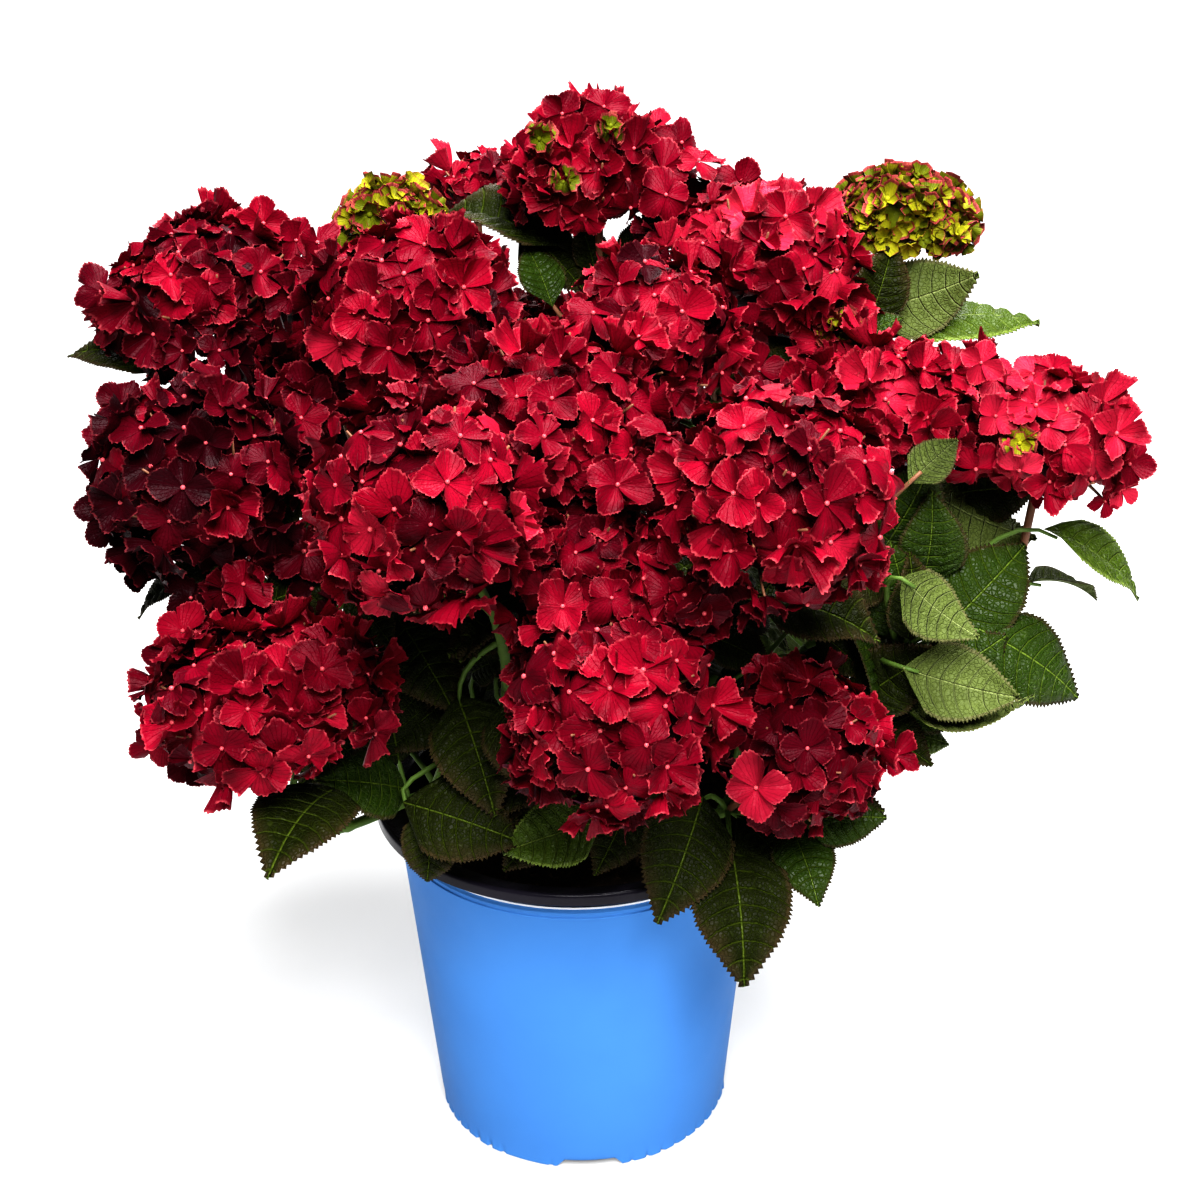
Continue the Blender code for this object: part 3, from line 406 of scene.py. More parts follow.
# %% Bark, pot, sleeve and mix finishes
bark = plain_finish(
    "bark", 0.85, ((0.070, 0.048, 0.028), (0.260, 0.200, 0.130)),
    (160.0, 5.0, (3.0, 3.0, 0.35)), (0.0012, 160.0, 5.0, (3.0, 3.0, 0.35)),
)
pot_black = plain_finish(
    "pot_black", 0.20, ((0.010, 0.009, 0.014), (0.020, 0.017, 0.026)), (55.0, 4.0),
    (0.00008, 700.0, 2.0), (0.10, 0.20, 55.0, 4.0), Specular_IOR_Level=0.18,
)
sleeve_blue = plain_finish(
    "sleeve_blue", 0.45, ((0.068, 0.212, 0.520), (0.082, 0.252, 0.600)), (14.0, 4.0),
    (0.0004, 30.0, 2.0), (0.40, 0.14, 60.0, 3.0), Specular_IOR_Level=0.05,
)
cut_edge = plain_finish(
    "sleeve_cut_edge", 0.5, ((0.72, 0.76, 0.84), (0.90, 0.92, 0.96)), (300.0,),
)
potting_mix = plain_finish(
    "potting_mix", 0.95, ((0.006, 0.004, 0.003), (0.075, 0.045, 0.028)), (220.0, 6.0),
    (0.0020, 450.0, 5.0), Specular_IOR_Level=0.25,
)
mix_chips = plain_finish(
    "mix_chips", 0.9, ((0.020, 0.011, 0.006), (0.160, 0.090, 0.048)), (90.0, 4.0),
)
print("finishes in all:", len(bpy.data.materials))

# %% [markdown]
# ## Modelled once, copied often
# A floret is modelled once with Blender's mesh tools and then stands on the plant more than a
# thousand times. Copying objects would be slow, so `model_of` reads a finished model into
# arrays: points, triangles, finish numbers and own places, which say where each point lies on
# its own sepal or leaf. A `Heap` collects copies of such models, each turned and placed by a
# matrix, and then makes one mesh of them that keeps all four.

# %% Helpers for modelling
def deselect_all():
    if bpy.context.object and bpy.context.object.mode != "OBJECT":
        bpy.ops.object.mode_set(mode="OBJECT")
    bpy.ops.object.select_all(action="DESELECT")


def add_modifier(piece, kind, **settings):
    modifier = piece.modifiers.new(kind.lower(), kind)
    for key, value in settings.items():
        setattr(modifier, key, value)
    bpy.context.view_layer.objects.active = piece
    bpy.ops.object.modifier_apply(modifier=modifier.name)


def places_of(mesh):
    points = np.empty(len(mesh.vertices) * 3)
    mesh.vertices.foreach_get("co", points)
    return points.reshape(-1, 3)


def move_points(mesh, points):
    mesh.vertices.foreach_set("co", np.asarray(points, dtype=float).ravel())
    mesh.update()


def mark_places(mesh, places):
    """Stores on each point where it lies on its own sepal or leaf."""
    stored = mesh.attributes.new("own_place", "FLOAT_VECTOR", "POINT")
    stored.data.foreach_set("vector", np.asarray(places, dtype=float).ravel())


def laid_grid(name, columns, rows, lay):
    """A grid whose points a rule lays, each from its x and y of -1 to 1, with its own place."""
    deselect_all()
    bpy.ops.mesh.primitive_grid_add(x_subdivisions=columns, y_subdivisions=rows, size=2.0)
    piece = bpy.context.object
    piece.name = name
    points, own_places = zip(*(lay(x, y) for x, y, _z in places_of(piece.data)))
    move_points(piece.data, points)
    if own_places[0]:
        mark_places(piece.data, own_places)
    return piece


def stop_at(stops, share):
    """The entry of a list that belongs to a share of -1 at its start and 1 at its end."""
    return stops[round((share + 1.0) / 2.0 * (len(stops) - 1))]


def select_edges(mesh, chosen):
    """Selects the edges in edit mode that the test chooses."""
    shape = bmesh.from_edit_mesh(mesh)
    shape.select_mode = {"EDGE"}
    for face in shape.faces:
        face.select = False
    for edge in shape.edges:
        edge.select = chosen(edge)
    shape.select_flush_mode()
    bmesh.update_edit_mesh(mesh)


def cut_edges(piece, chosen, cuts):
    """Subdivides the chosen edges. The new points come after the old ones."""
    bpy.ops.object.mode_set(mode="EDIT")
    select_edges(piece.data, chosen)
    bpy.ops.mesh.subdivide(number_cuts=cuts)
    bpy.ops.object.mode_set(mode="OBJECT")
    return places_of(piece.data)


# %% Helpers for copying
def model_of(piece):
    """Reads a model as (points, triangles, finish number of each triangle, own places)."""
    mesh = piece.data
    mesh.calc_loop_triangles()
    count = len(mesh.loop_triangles)
    triangles = np.empty(count * 3, dtype=int)
    mesh.loop_triangles.foreach_get("vertices", triangles)
    numbers = np.empty(count, dtype=int)
    mesh.loop_triangles.foreach_get("material_index", numbers)
    points = places_of(mesh)
    own_places = np.zeros(points.size)
    if "own_place" in mesh.attributes:
        mesh.attributes["own_place"].data.foreach_get("vector", own_places)
    bpy.data.objects.remove(piece, do_unlink=True)
    return points, triangles.reshape(-1, 3), numbers, own_places.reshape(-1, 3)


def dress(piece, nodes=()):
    """Every piece rides on the one body, and may stand for solids."""
    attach(piece, "root")
    if nodes:
        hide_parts(*nodes)
    triangles = sum(len(face.vertices) - 2 for face in piece.data.polygons)
    print(piece.name, "triangles:", triangles, "stands for", len(nodes))


class Heap:
    """Copies of models that become one joined piece."""

    def __init__(self):
        self.parts = []
        self.count = 0

    def add(self, points, triangles, numbers, own_places=None):
        self.parts.append((
            points, np.asarray(triangles) + self.count, np.broadcast_to(numbers, len(triangles)),
            np.zeros((len(points), 3)) if own_places is None else own_places,
        ))
        self.count += len(points)

    def copy(self, model, matrix, finishes=None):
        points, triangles, numbers, own_places = model
        turn = np.array(matrix)
        self.add(points @ turn[:3, :3].T + turn[:3, 3], triangles,
                 numbers if finishes is None else np.asarray(finishes)[numbers], own_places)

    def model(self):
        """What was collected, as a model to copy in its turn."""
        return tuple(np.concatenate(part) for part in zip(*self.parts))

    def piece(self, name, finishes, slot, nodes=()):
        """Makes the mesh, lets it ride on the plant and stand for the solids named."""
        points, triangles, numbers, own_places = self.model()
        mesh = bpy.data.meshes.new(name)
        mesh.vertices.add(len(points))
        mesh.vertices.foreach_set("co", points.ravel())
        mesh.loops.add(triangles.size)
        mesh.loops.foreach_set("vertex_index", triangles.ravel())
        mesh.polygons.add(len(triangles))
        mesh.polygons.foreach_set("loop_start", np.arange(0, triangles.size, 3))
        for finish in finishes:
            mesh.materials.append(finish)
        mesh.polygons.foreach_set("material_index", numbers)
        mark_places(mesh, own_places)
        mesh.update(calc_edges=True)
        mesh.validate()
        mesh.shade_smooth()
        made = bpy.data.objects.new(name, mesh)
        bpy.context.scene.collection.objects.link(made)
        dress(made, nodes)


def in_groups(names, size):
    """The names in groups of a size, so that no piece grows too large, numbered from 1."""
    names = list(names)
    return enumerate((names[k:k + size] for k in range(0, len(names), size)), 1)


# %% [markdown]
# ## The plant's plan
# The plan is a set of tables: where each flower head is, how wide and how tall it is and how
# far it leans out, and which heads each stem carries. Lengths in the tables are in millimetres
# and shares are in hundredths. Some leaves draw the plant's outline or close gaps between the
# heads, and they are placed one by one. All other leaves follow the rule of growth.

# %% Heads and stems
# name: x, y, z of the middle, radius, height as a share of the width, lean outwards, brightness
# of its florets, which is partly painted light and shade: high on the lit right, low on the
# shaded left
RED_BLOOMS = {
    "left_top": (-191, 20, 489, 60, 62, 30, 36),
    "left_middle": (-184, -55, 414, 61, 97, 50, 14),
    "left_low": (-151, -115, 321, 67, 67, 5, 47),
    "front_left_top": (-80, -25, 490, 60, 76, 40, 44),
    "front_left": (-65, -165, 441, 58, 92, 90, 44),
    "front_centre": (-7, -95, 452, 56, 95, 80, 46),
    "front_small": (9, -128, 398, 38, 95, 80, 42),
    "middle_top": (40, -25, 475, 51, 90, 40, 44),
    "top": (16, 95, 530, 56, 70, 5, 46),
    "top_small": (-57, 185, 502, 26, 85, 20, 55),
    "right_top": (103, 45, 493, 60, 78, 40, 68),
    "front_right": (96, -150, 436, 58, 92, 90, 48),
    "right": (166, -20, 436, 51, 66, 15, 62),
    "far_right": (246, -15, 414, 49, 82, 12, 84),
    "low_front": (18, -165, 339, 60, 92, 100, 44),
    "low_right": (114, -105, 286, 49, 98, 80, 36),
    "back_left": (-146, 120, 418, 56, 80, 50, 36),
    "back_far_left": (-222, 65, 370, 48, 80, 50, 30),
    "back_left_low": (-120, 190, 335, 55, 85, 70, 34),
    "back_middle": (-22, 220, 385, 55, 85, 60, 42),
    "middle_back": (-43, 106, 428, 42, 80, 20, 44),
    "back_right": (115, 155, 440, 55, 80, 50, 46),
    "back_right_low": (80, 205, 330, 54, 85, 70, 40),
    "back_far_right": (185, 125, 372, 50, 80, 50, 55),
}
GREEN_BLOOMS = {
    "green_right": (180, 75, 508, 38, 66, 10, 0),
    "green_left": (-98, 80, 508, 28, 72, 20, 0),
}
# name: direction of its stub on the crown in degrees, and the heads it carries
STEMS = {
    "left_top": (146, "left_top", "back_left"),
    "left_middle": (176, "left_middle", "back_far_left"),
    "left_low": (208, "left_low"),
    "front_left": (238, "front_left"),
    "low_front": (267, "low_front", "front_small"),
    "front_right": (296, "front_right"),
    "low_right": (325, "low_right"),
    "right": (355, "right", "far_right"),
    "back_right": (27, "back_far_right"),
    "back_middle": (66, "back_right", "back_right_low"),
    "back_left": (108, "back_left_low", "back_middle"),
    "inner_front": (265, "front_centre", "middle_top"),
    "inner_left": (170, "front_left_top", "green_left"),
    "inner_back": (90, "top", "top_small", "middle_back"),
    "inner_right": (10, "right_top", "green_right"),
}
LEAFY_TIPS = {"right": (170, -55, 315)}     # where a shoot ends that has leaves only
print("heads:", len(RED_BLOOMS) + len(GREEN_BLOOMS), "stems:", len(STEMS))

# %% Leaves placed one by one
FRONT = Vector((0.15, -0.75, 0.60))
SKY = Vector((0.0, -0.15, 1.0))
EDGE = Vector((0.0, 0.30, 0.95))
TURNED = Vector((-0.20, 0.75, -0.50))       # shows its underside to the front
ROLLED = Vector((-0.10, 0.05, -1.00))       # the same, seen at a low angle
LEVEL = Vector((0.10, -0.30, 0.90))
# Stem, x, y, z of the blade's base and of its tip, where it faces, and how light it is, as
# painted light and shade: d for the deep, shaded green, m for mid and f for the lit green. These
# draw the outline:
OUTLINE_LEAVES = (
    ("right", 190, -50, 318, 238, -27, 360, FRONT, "m"),
    ("right", 209, -56, 325, 266, -60, 286, FRONT, "m"),
    ("right", 168, -62, 290, 235, -85, 297, ROLLED, "f"),
    ("right", 168, -48, 275, 216, -55, 284, FRONT, "m"),
    ("right", 172, -62, 322, 172, -60, 369, FRONT, "d"),
    ("right", 155, -52, 314, 148, -52, 356, FRONT, "d"),
    ("right", 182, -36, 342, 184, -44, 396, FRONT, "m"),
    ("right", 188, -12, 384, 245, -3, 352, TURNED, "f"),
    ("right", 155, -45, 262, 187, -72, 254, FRONT, "d"),
    ("right", 164, -43, 275, 172, -45, 318, FRONT, "d"),
    ("right", 158, -55, 276, 142, -60, 334, SKY, "m"),
    ("right", 247, -22, 366, 300, -30, 330, LEVEL, "f"),
    ("right", 250, 18, 317, 293, 30, 303, EDGE, "d"),
    ("left_low", -120, -118, 270, -144, -188, 269, SKY, "d"),
    ("left_low", -90, -77, 246, -130, -108, 270, FRONT, "m"),
    ("front_left", -60, -80, 302, -40, -125, 258, FRONT, "d"),
    ("front_left", -70, -92, 244, -24, -122, 236, FRONT, "d"),
    ("left_middle", -95, -45, 335, -62, -80, 294, FRONT, "d"),
    ("left_top", -205, 12, 446, -264, 22, 458, SKY, "d"),
    ("left_middle", -190, -20, 350, -232, -30, 326, SKY, "d"),
    ("low_right", 66, -85, 244, 42, -135, 200, FRONT, "d"),
    ("low_right", 80, -94, 222, 85, -150, 171, FRONT, "d"),
    ("low_right", 105, -65, 232, 160, -88, 236, FRONT, "d"),
    ("low_right", 112, -83, 224, 124, -124, 202, FRONT, "m"),
    ("low_front", 30, -70, 236, 10, -110, 213, FRONT, "d"),
    ("low_front", -10, -80, 233, -38, -104, 212, FRONT, "d"),
    ("inner_back", 2, 92, 484, -72, 112, 507, SKY, "d"),
    ("inner_back", -10, 64, 464, -24, 86, 493, FRONT, "m"),
    ("inner_back", 30, 82, 476, 54, 80, 512, FRONT, "d"),
    ("inner_right", 156, 36, 467, 215, 36, 486, TURNED, "m"),
    ("inner_right", 168, 56, 447, 254, 58, 456, SKY, "f"),
)
# These close gaps between the heads or hang over the pot's rim:
FILLING_LEAVES = (
    ("inner_right", 100, 12, 434, 125, 22, 454, FRONT, "d"),
    ("inner_right", 121, 22, 439, 105, 30, 457, FRONT, "d"),
    ("right", 173, -50, 313, 163, -55, 372, FRONT, "m"),
    ("right", 195, 12, 371, 251, 12, 376, FRONT, "d"),
    ("right", 175, -30, 395, 200, -20, 418, TURNED, "f"),
    ("right", 144, -60, 283, 188, -62, 317, FRONT, "d"),
    ("left_low", -165, -60, 348, -199, -65, 357, FRONT, "d"),
    ("left_middle", -140, -55, 354, -157, -60, 377, FRONT, "d"),
    ("low_right", 116, -90, 232, 161, -95, 236, FRONT, "m"),
    ("left_low", -67, -50, 285, -100, -64, 261, FRONT, "d"),
    ("right", 180, -58, 288, 222, -64, 324, FRONT, "m"),
    ("left_middle", -172, -30, 376, -130, -40, 397, FRONT, "d"),
    ("left_middle", -163, -70, 347, -118, -80, 368, FRONT, "d"),
    ("front_left", -114, -75, 360, -90, -85, 332, FRONT, "d"),
    ("right", 159, -30, 354, 184, -40, 410, FRONT, "m"),
    ("inner_back", 14, 90, 473, 5, 100, 503, FRONT, "d"),
    ("low_right", 125, -50, 323, 153, -62, 300, FRONT, "d"),
    ("low_right", 85, -75, 226, 111, -100, 208, FRONT, "d"),
    ("inner_back", -28, 100, 499, 8, 80, 468, FRONT, "d"),
    ("inner_right", 157, 30, 462, 170, 40, 504, FRONT, "d"),
    ("low_front", 70, -55, 322, 101, -70, 312, FRONT, "d"),
    ("front_left", -54, -55, 302, -34, -70, 319, FRONT, "d"),
    ("left_low", -110, -30, 253, -151, -50, 233, FRONT, "d"),
    ("left_low", -94, -60, 251, -103, -60, 316, FRONT, "d"),
    ("left_middle", -191, -30, 322, -207, -30, 358, FRONT, "d"),
    ("right", 204, -56, 282, 230, -56, 292, FRONT, "m"),
    ("low_right", 170, -56, 265, 199, -56, 257, FRONT, "f"),
    ("low_right", 75, -30, 282, 102, -30, 288, FRONT, "d"),
    ("low_right", 118, -30, 298, 149, -30, 281, FRONT, "d"),
    ("front_left", -88, -108, 256, -27, -125, 242, FRONT, "d"),
    ("front_left", -73, -105, 255, -77, -116, 212, FRONT, "d"),
    ("low_front", 13, -112, 246, -37, -126, 237, FRONT, "f"),
    ("right", 163, -88, 369, 202, -88, 335, TURNED, "f"),
    ("right", 166, -72, 412, 189, -72, 435, TURNED, "f"),
    ("low_right", 155, -30, 305, 177, -30, 317, FRONT, "d"),
    ("right", 204, 5, 401, 227, 5, 413, FRONT, "d"),
    ("inner_right", 76, 20, 433, 98, 20, 445, FRONT, "d"),
    ("inner_right", 151, 15, 461, 173, 15, 471, FRONT, "m"),
    ("front_right", 59, -40, 374, 82, -40, 384, FRONT, "d"),
    ("low_front", -42, -65, 305, -25, -65, 330, FRONT, "d"),
    ("right", 167, -80, 315, 225, -88, 300, TURNED, "f"),
)
print("leaves placed one by one:", len(OUTLINE_LEAVES) + len(FILLING_LEAVES))

# %% [markdown]
# ## How the plant grows
# Each old cane leaves the crown at its own angle and ends in a green stem. The stem forks into
# shoots, and a shoot ends under its flower head. Curves with three or four control points draw
# these runs. A head is a ball that is pressed flat. Where two heads crowd each other, a flat
# wall half way between them is their border.

# %% Heads
CLEARANCE = 0.0003
STALK_LENGTH = 0.036
UNDERSIDE_SHARE = 0.72


def in_metres(millimetres):
    return Vector([length / 1000.0 for length in millimetres])


def side_of(direction):
    """A unit vector square to a direction."""
    helper = Vector((0.0, 1.0, 0.0)) if abs(direction.y) < 0.9 else Vector((1.0, 0.0, 0.0))
    return direction.cross(helper).normalized()


class Head:
    """One flower head: where it is, how it leans and how far it reaches."""

    def __init__(self, x, y, z, radius, height, lean, brightness):
        self.centre = in_metres((x, y, z))
        self.radius = radius / 1000.0
        self.height, self.brightness = height / 100.0, brightness / 100.0
        outwards = Vector((self.centre.x, self.centre.y, 0.0)).normalized()
        self.axis = (UP + outwards * (lean / 100.0)).normalized()
        self.turn = UP.rotation_difference(self.axis).to_matrix()
        below = self.radius * self.height * UNDERSIDE_SHARE + STALK_LENGTH
        self.foot = self.centre - self.axis * below     # the lower end of its flowering twig

    def reach(self, direction):
        """How far the head reaches along a direction."""
        along = direction.dot(self.axis)
        return self.radius * math.sqrt(1.0 - along ** 2 + (self.height * along) ** 2)

    def meets(self, other):
        """The way to another head, this one's reach along it, and the gap between the two."""
        way = other.centre - self.centre
        distance = way.length
        way.normalize()
        reach = self.reach(way)
        return way, reach, distance - reach - other.reach(way)

    def put(self, direction, share=1.0):
        """The step from the middle to the skin of the pressed ball along a direction."""
        x, y, z = direction
        return self.turn @ (Vector((x, y, z * self.height)) * self.radius * share)


def walls_of(head):
    """Planes half way to each crowding head, as (point, direction) pairs."""
    walls = []
    for other in heads.values():
        if other is not head:
            way, reach, spare = head.meets(other)
            if spare < CLEARANCE:
                walls.append((head.centre + way * (reach + spare / 2.0 - CLEARANCE), way))
    return walls


def beyond_walls(point, walls):
    return max([(point - on_wall).dot(way) for on_wall, way in walls], default=-1.0)


heads = {name: Head(*row) for name, row in {**RED_BLOOMS, **GREEN_BLOOMS}.items()}
for head in heads.values():
    head.walls = walls_of(head)
print("walls between heads:", sum(len(head.walls) for head in heads.values()) // 2)

# %% Runs of the canes and shoots
MIX_MIDDLE_HEIGHT = 0.1800
CROWN_RADIUS, CROWN_HEIGHT, STUB_LENGTH = 0.024, 0.020, 0.020
OUTER_RING, INNER_RING = (0.021, 48.0), (0.008, 14.0)     # radius and the canes' tilt
CANE_RADIUS, CANE_TIP_RADIUS = 0.0043, 0.0036
SHOOT_RADIUS, TWIG_RADIUS = 0.0029, 0.0023
CANE_PULL, SHOOT_PULL, BLOOM_PULL = 0.45, 0.30, 0.35
CANE_SHARE, FORK_SHARE = 0.50, 0.56
STEM_RINGS, SHOOT_RINGS, PIECES_OF_A_RUN = 3, 6, 5


def bezier(points, share):
    """Point on the curve that a list of control points draws."""
    while len(points) > 1:
        points = [a.lerp(b, share) for a, b in zip(points, points[1:])]
    return points[0]


def curve_points(controls, start, end, count):
    return [bezier(controls, start + (end - start) * k / (count - 1)) for k in range(count)]


def finer(path):
    samples = []
    for a, b in zip(path, path[1:]):
        samples += [a.lerp(b, k / PIECES_OF_A_RUN) for k in range(PIECES_OF_A_RUN)]
    return samples + [path[-1]]


class Stem:
    """The run of one cane: its stub, its fork and the shoots that leave the fork."""

    def __init__(self, name, angle, *blooms):
        turn = math.radians(angle)
        ring_radius, tilt = INNER_RING if name.startswith("inner") else OUTER_RING
        tilt = math.radians(tilt)
        outwards = Vector((math.cos(turn), math.sin(turn), 0.0))
        self.heading = outwards * math.sin(tilt) + UP * math.cos(tilt)
        self.root = outwards * ring_radius + UP * (MIX_MIDDLE_HEIGHT + 0.5 * CROWN_HEIGHT)
        start = self.root + self.heading * STUB_LENGTH + self.heading * CLEARANCE
        feet = [heads[bloom].foot for bloom in blooms]
        self.fork = start.lerp(sum(feet, Vector()) / len(feet), FORK_SHARE)
        run = (self.fork - start).length
        self.cane = [start, start + self.heading * CANE_PULL * run, self.fork]
        self.shoots = [self.shoot(heads[bloom].foot, heads[bloom].axis) for bloom in blooms]
        self.leafy = []
        if name in LEAFY_TIPS:
            self.leafy = [self.shoot(in_metres(LEAFY_TIPS[name]), UP, 0.0)]
        # Where the leafy stem starts on the cane's curve
        self.green_from = CANE_SHARE + CLEARANCE / (self.fork - start).length

    def shoot(self, foot, axis, gap=CLEARANCE):
        """The four control points of a shoot that ends under a foot."""
        reach = (foot - self.fork).length
        leaving = (self.cane[2] - self.cane[1]).normalized()
        end = foot - axis * gap
        return [self.fork, self.fork + leaving * SHOOT_PULL * reach,
                end - axis * BLOOM_PULL * reach, end]

    def green_paths(self):
        """The lines that leaves grow from, without their very ends."""
        paths = [finer(curve_points(self.cane, self.green_from, 1.0, STEM_RINGS))[1:]]
        for shoot in self.shoots + self.leafy:
            paths.append(finer(curve_points(shoot, 0.0, 1.0, SHOOT_RINGS))[2:-2])
        return paths


stems = {name: Stem(name, *row) for name, row in STEMS.items()}
print("canes:", len(stems), "shoots:", sum(len(s.shoots + s.leafy) for s in stems.values()))

# %% [markdown]
# ## Where the leaves are
# Hydrangeas have their leaves in pairs, each pair square to the last. The solids were grown by
# this same rule, which offers a few ways to grow for each leaf. They kept the first way that
# had room. So each way is tried in turn, and the one whose tip is a corner of the solid stays.

# %% Leaves of the rule, kept where the solids have one
LEAF_LENGTH = 0.088
LEAF_HALF_WIDTH = 0.34          # share of the length
JOINT_SPACING = 0.019
LEAF_SIZES = (0.70, 1.08)
LEAF_DROOP = (0.25, 0.65)
LEAF_TWIST = 0.6
LEAF_WAYS = 5
PETIOLE_SHARE = 0.32
PETIOLE_STRAIGHTNESS = 0.20
FACING_OUTWARDS = 0.6
LEAF_RISE_LOW, LEAF_RISE_HIGH = -8.0, 38.0
LOW_LEAF_HEIGHT, HIGH_LEAF_SPAN = 0.22, 0.20
SAME_PLACE = 0.0004

Leaf = namedtuple("Leaf", "stem root base tip facing tone")


def placed_leaf(stem, *row):
    """A leaf of the tables, rooted where its petiole best runs on into its blade."""
    base, tip = in_metres(row[:3]), in_metres(row[3:6])
    along = (tip - base).normalized()

    def cost(sample):
        petiole = base - sample
        bent = petiole.dot(along) < PETIOLE_STRAIGHTNESS * petiole.length
        return petiole.length + (LEAF_LENGTH if bent else 0.0)

    root = min((sample for path in stems[stem].green_paths() for sample in path), key=cost)
    return Leaf(stem, root, base, tip, *row[6:])


def leaf_on_joint(root, ahead, turn, rise, rng):
    """A leaf that leaves its joint at a turn round the stem and a rise over the level."""
    out = side_of(ahead)
    out.rotate(Matrix.Rotation(turn, 3, ahead))
    heading = (out * math.cos(rise) + ahead * math.sin(rise)).normalized()
    blade = LEAF_LENGTH * rng.uniform(*LEAF_SIZES)
    base = root + heading * PETIOLE_SHARE * blade
    droop = Vector((0.0, 0.0, -rng.uniform(*LEAF_DROOP)))
    return root, base, base + (heading + droop).normalized() * blade


def rule_leaves(stem, rng):
    """Opposite pairs along a stem's green lines; each leaf comes as a few ways to grow."""
    for path in stem.green_paths():
        length = sum((b - a).length for a, b in zip(path, path[1:]))
        joints = max(1, round(length / JOINT_SPACING))
        turn = rng.uniform(0.0, math.pi)
        for joint in range(joints):
            share = (joint + 0.5) / joints
            k = min(int(share * (len(path) - 1)), len(path) - 2)
            ahead = (path[k + 1] - path[k]).normalized()
            turn += math.pi / 2.0
            high = min(1.0, max(0.0, (path[k].z - LOW_LEAF_HEIGHT) / HIGH_LEAF_SPAN))
            rise = math.radians(LEAF_RISE_LOW + (LEAF_RISE_HIGH - LEAF_RISE_LOW) * high)
            for half_turn in (0.0, math.pi):
                ways = []
                for _way in range(LEAF_WAYS):
                    twist = half_turn + rng.uniform(-LEAF_TWIST, LEAF_TWIST)
                    ways.append(leaf_on_joint(path[k], ahead, turn + twist, rise, rng))
                yield ways


def corners_of(node_name):
    """A search tree of a solid's corner points."""
    mesh = frame["nodes"][node_name].data
    tree = KDTree(len(mesh.vertices))
    for k, corner in enumerate(mesh.vertices):
        tree.insert(corner.co, k)
    tree.balance()
    return tree


leaves = [placed_leaf(*row) for row in OUTLINE_LEAVES]
for name, stem in stems.items():
    corners = corners_of("leaves_" + name)
    for ways in rule_leaves(stem, random.Random(name)):
        kept = [way for way in ways if corners.find(way[2])[2] < SAME_PLACE]
        if kept:
            root, base, tip = kept[0]
            facing = UP + Vector((base.x, base.y, 0.0)).normalized() * FACING_OUTWARDS
            leaves.append(Leaf(name, root, base, tip, facing, ""))
leaves += [placed_leaf(*row) for row in FILLING_LEAVES]
print("leaves:", len(leaves))

# %% [markdown]
# ## A floret
# On the real plant a floret has four broad sepals, two of them a little over the other two,
# with a bud the size of a pinhead in the middle. One sepal is a grid that is bent into a fan,
# cupped and ruffled, and its edge is subdivided into fine teeth. The finish draws its rays, so
# the grid stays coarse. Four of them, each turned by a quarter, and a small ball make one
# floret. A few florets that differ are enough, as each copy is turned its own way.

# %% Model a few florets
SEPAL_HALF_ANGLE = math.radians(57.0)     # more than 45 degrees, so neighbours overlap
SEPAL_STRIPS = 7
SEPAL_RINGS = (0.07, 0.30, 0.56, 0.80, 1.0)
TOOTH_CUTS = 3
TOOTH_OUT, NOTCH_IN = 0.036, -0.016
NARROWING = 0.22
LAP = 0.10                      # how far one side of a sepal stands over its neighbour
CUPS = (-0.34, -0.18, 0.02, 0.18, 0.32, 0.48, 0.66)
FLORET_KINDS, SEPALS = 14, 4
EYE = 1                         # the number of the bud's finish in a floret
EYE_RADIUS, EYE_HEIGHT = 0.078, 0.05


def sepal_model(rng, pointed, cup):
    """One sepal, from round to pointed, and from flat to cupped."""
    wave, waves = rng.uniform(0.0, 6.3), rng.uniform(4.4, 8.0)
    ruffle = rng.uniform(0.05, 0.13)
    fold, curl = rng.uniform(0.05, 0.42), rng.uniform(-1.00, 0.45)
    twist = rng.uniform(-0.14, 0.14)

    def lay(x, y):
        ring, wide = stop_at(SEPAL_RINGS, y), min(1.0, abs(x))
        turn = SEPAL_HALF_ANGLE * x * (1.0 - NARROWING * ring)
        outline = 1.0 - (0.17 + 0.20 * pointed) * wide ** (1.9 - 0.5 * pointed)
        outline += (0.03 + 0.13 * pointed) * math.exp(-(x / 0.24) ** 2)
        reach = ring * outline * (1.0 - 0.22 * abs(cup))
        up = cup * ring ** 1.6 + curl * max(0.0, ring - 0.5) ** 2
        up += (fold * wide ** 1.5 + LAP * x + twist * x) * ring
        up += ruffle * ring ** 3 * math.sin(waves * x + wave)
        return (reach * math.sin(turn), reach * math.cos(turn), up), (x, ring, 0.0)

    piece = laid_grid("sepal", SEPAL_STRIPS, len(SEPAL_RINGS) - 1, lay)
    first_tooth = len(piece.data.vertices)
    first_outer = first_tooth - SEPAL_STRIPS - 1
    teeth = cut_edges(
        piece, lambda edge: min(v.index for v in edge.verts) >= first_outer, TOOTH_CUTS,
    )
    for k in range(first_tooth, len(teeth)):
        out = NOTCH_IN if (k - first_tooth) % TOOTH_CUTS == 1 else TOOTH_OUT
        teeth[k] *= 1.0 + out * rng.uniform(0.5, 1.4)
        turn = math.atan2(teeth[k][0], teeth[k][1])
        teeth[k][2] += 0.030 * math.sin(17.0 * turn + wave) + rng.uniform(-0.02, 0.02)
    move_points(piece.data, teeth)
    return model_of(piece)


def quarter_turn(quarter, off, rng):
    """A turn for one of four sepals, off by up to so many degrees."""
    return Matrix.Rotation(math.radians(90.0 * quarter + rng.uniform(-off, off)), 4, "Z")


def with_bud(floret, size, height, number):
    points, triangles, _numbers, _own_places = bead
    floret.add(points * size + np.array([0.0, 0.0, height]), triangles, number)
    return floret.model()


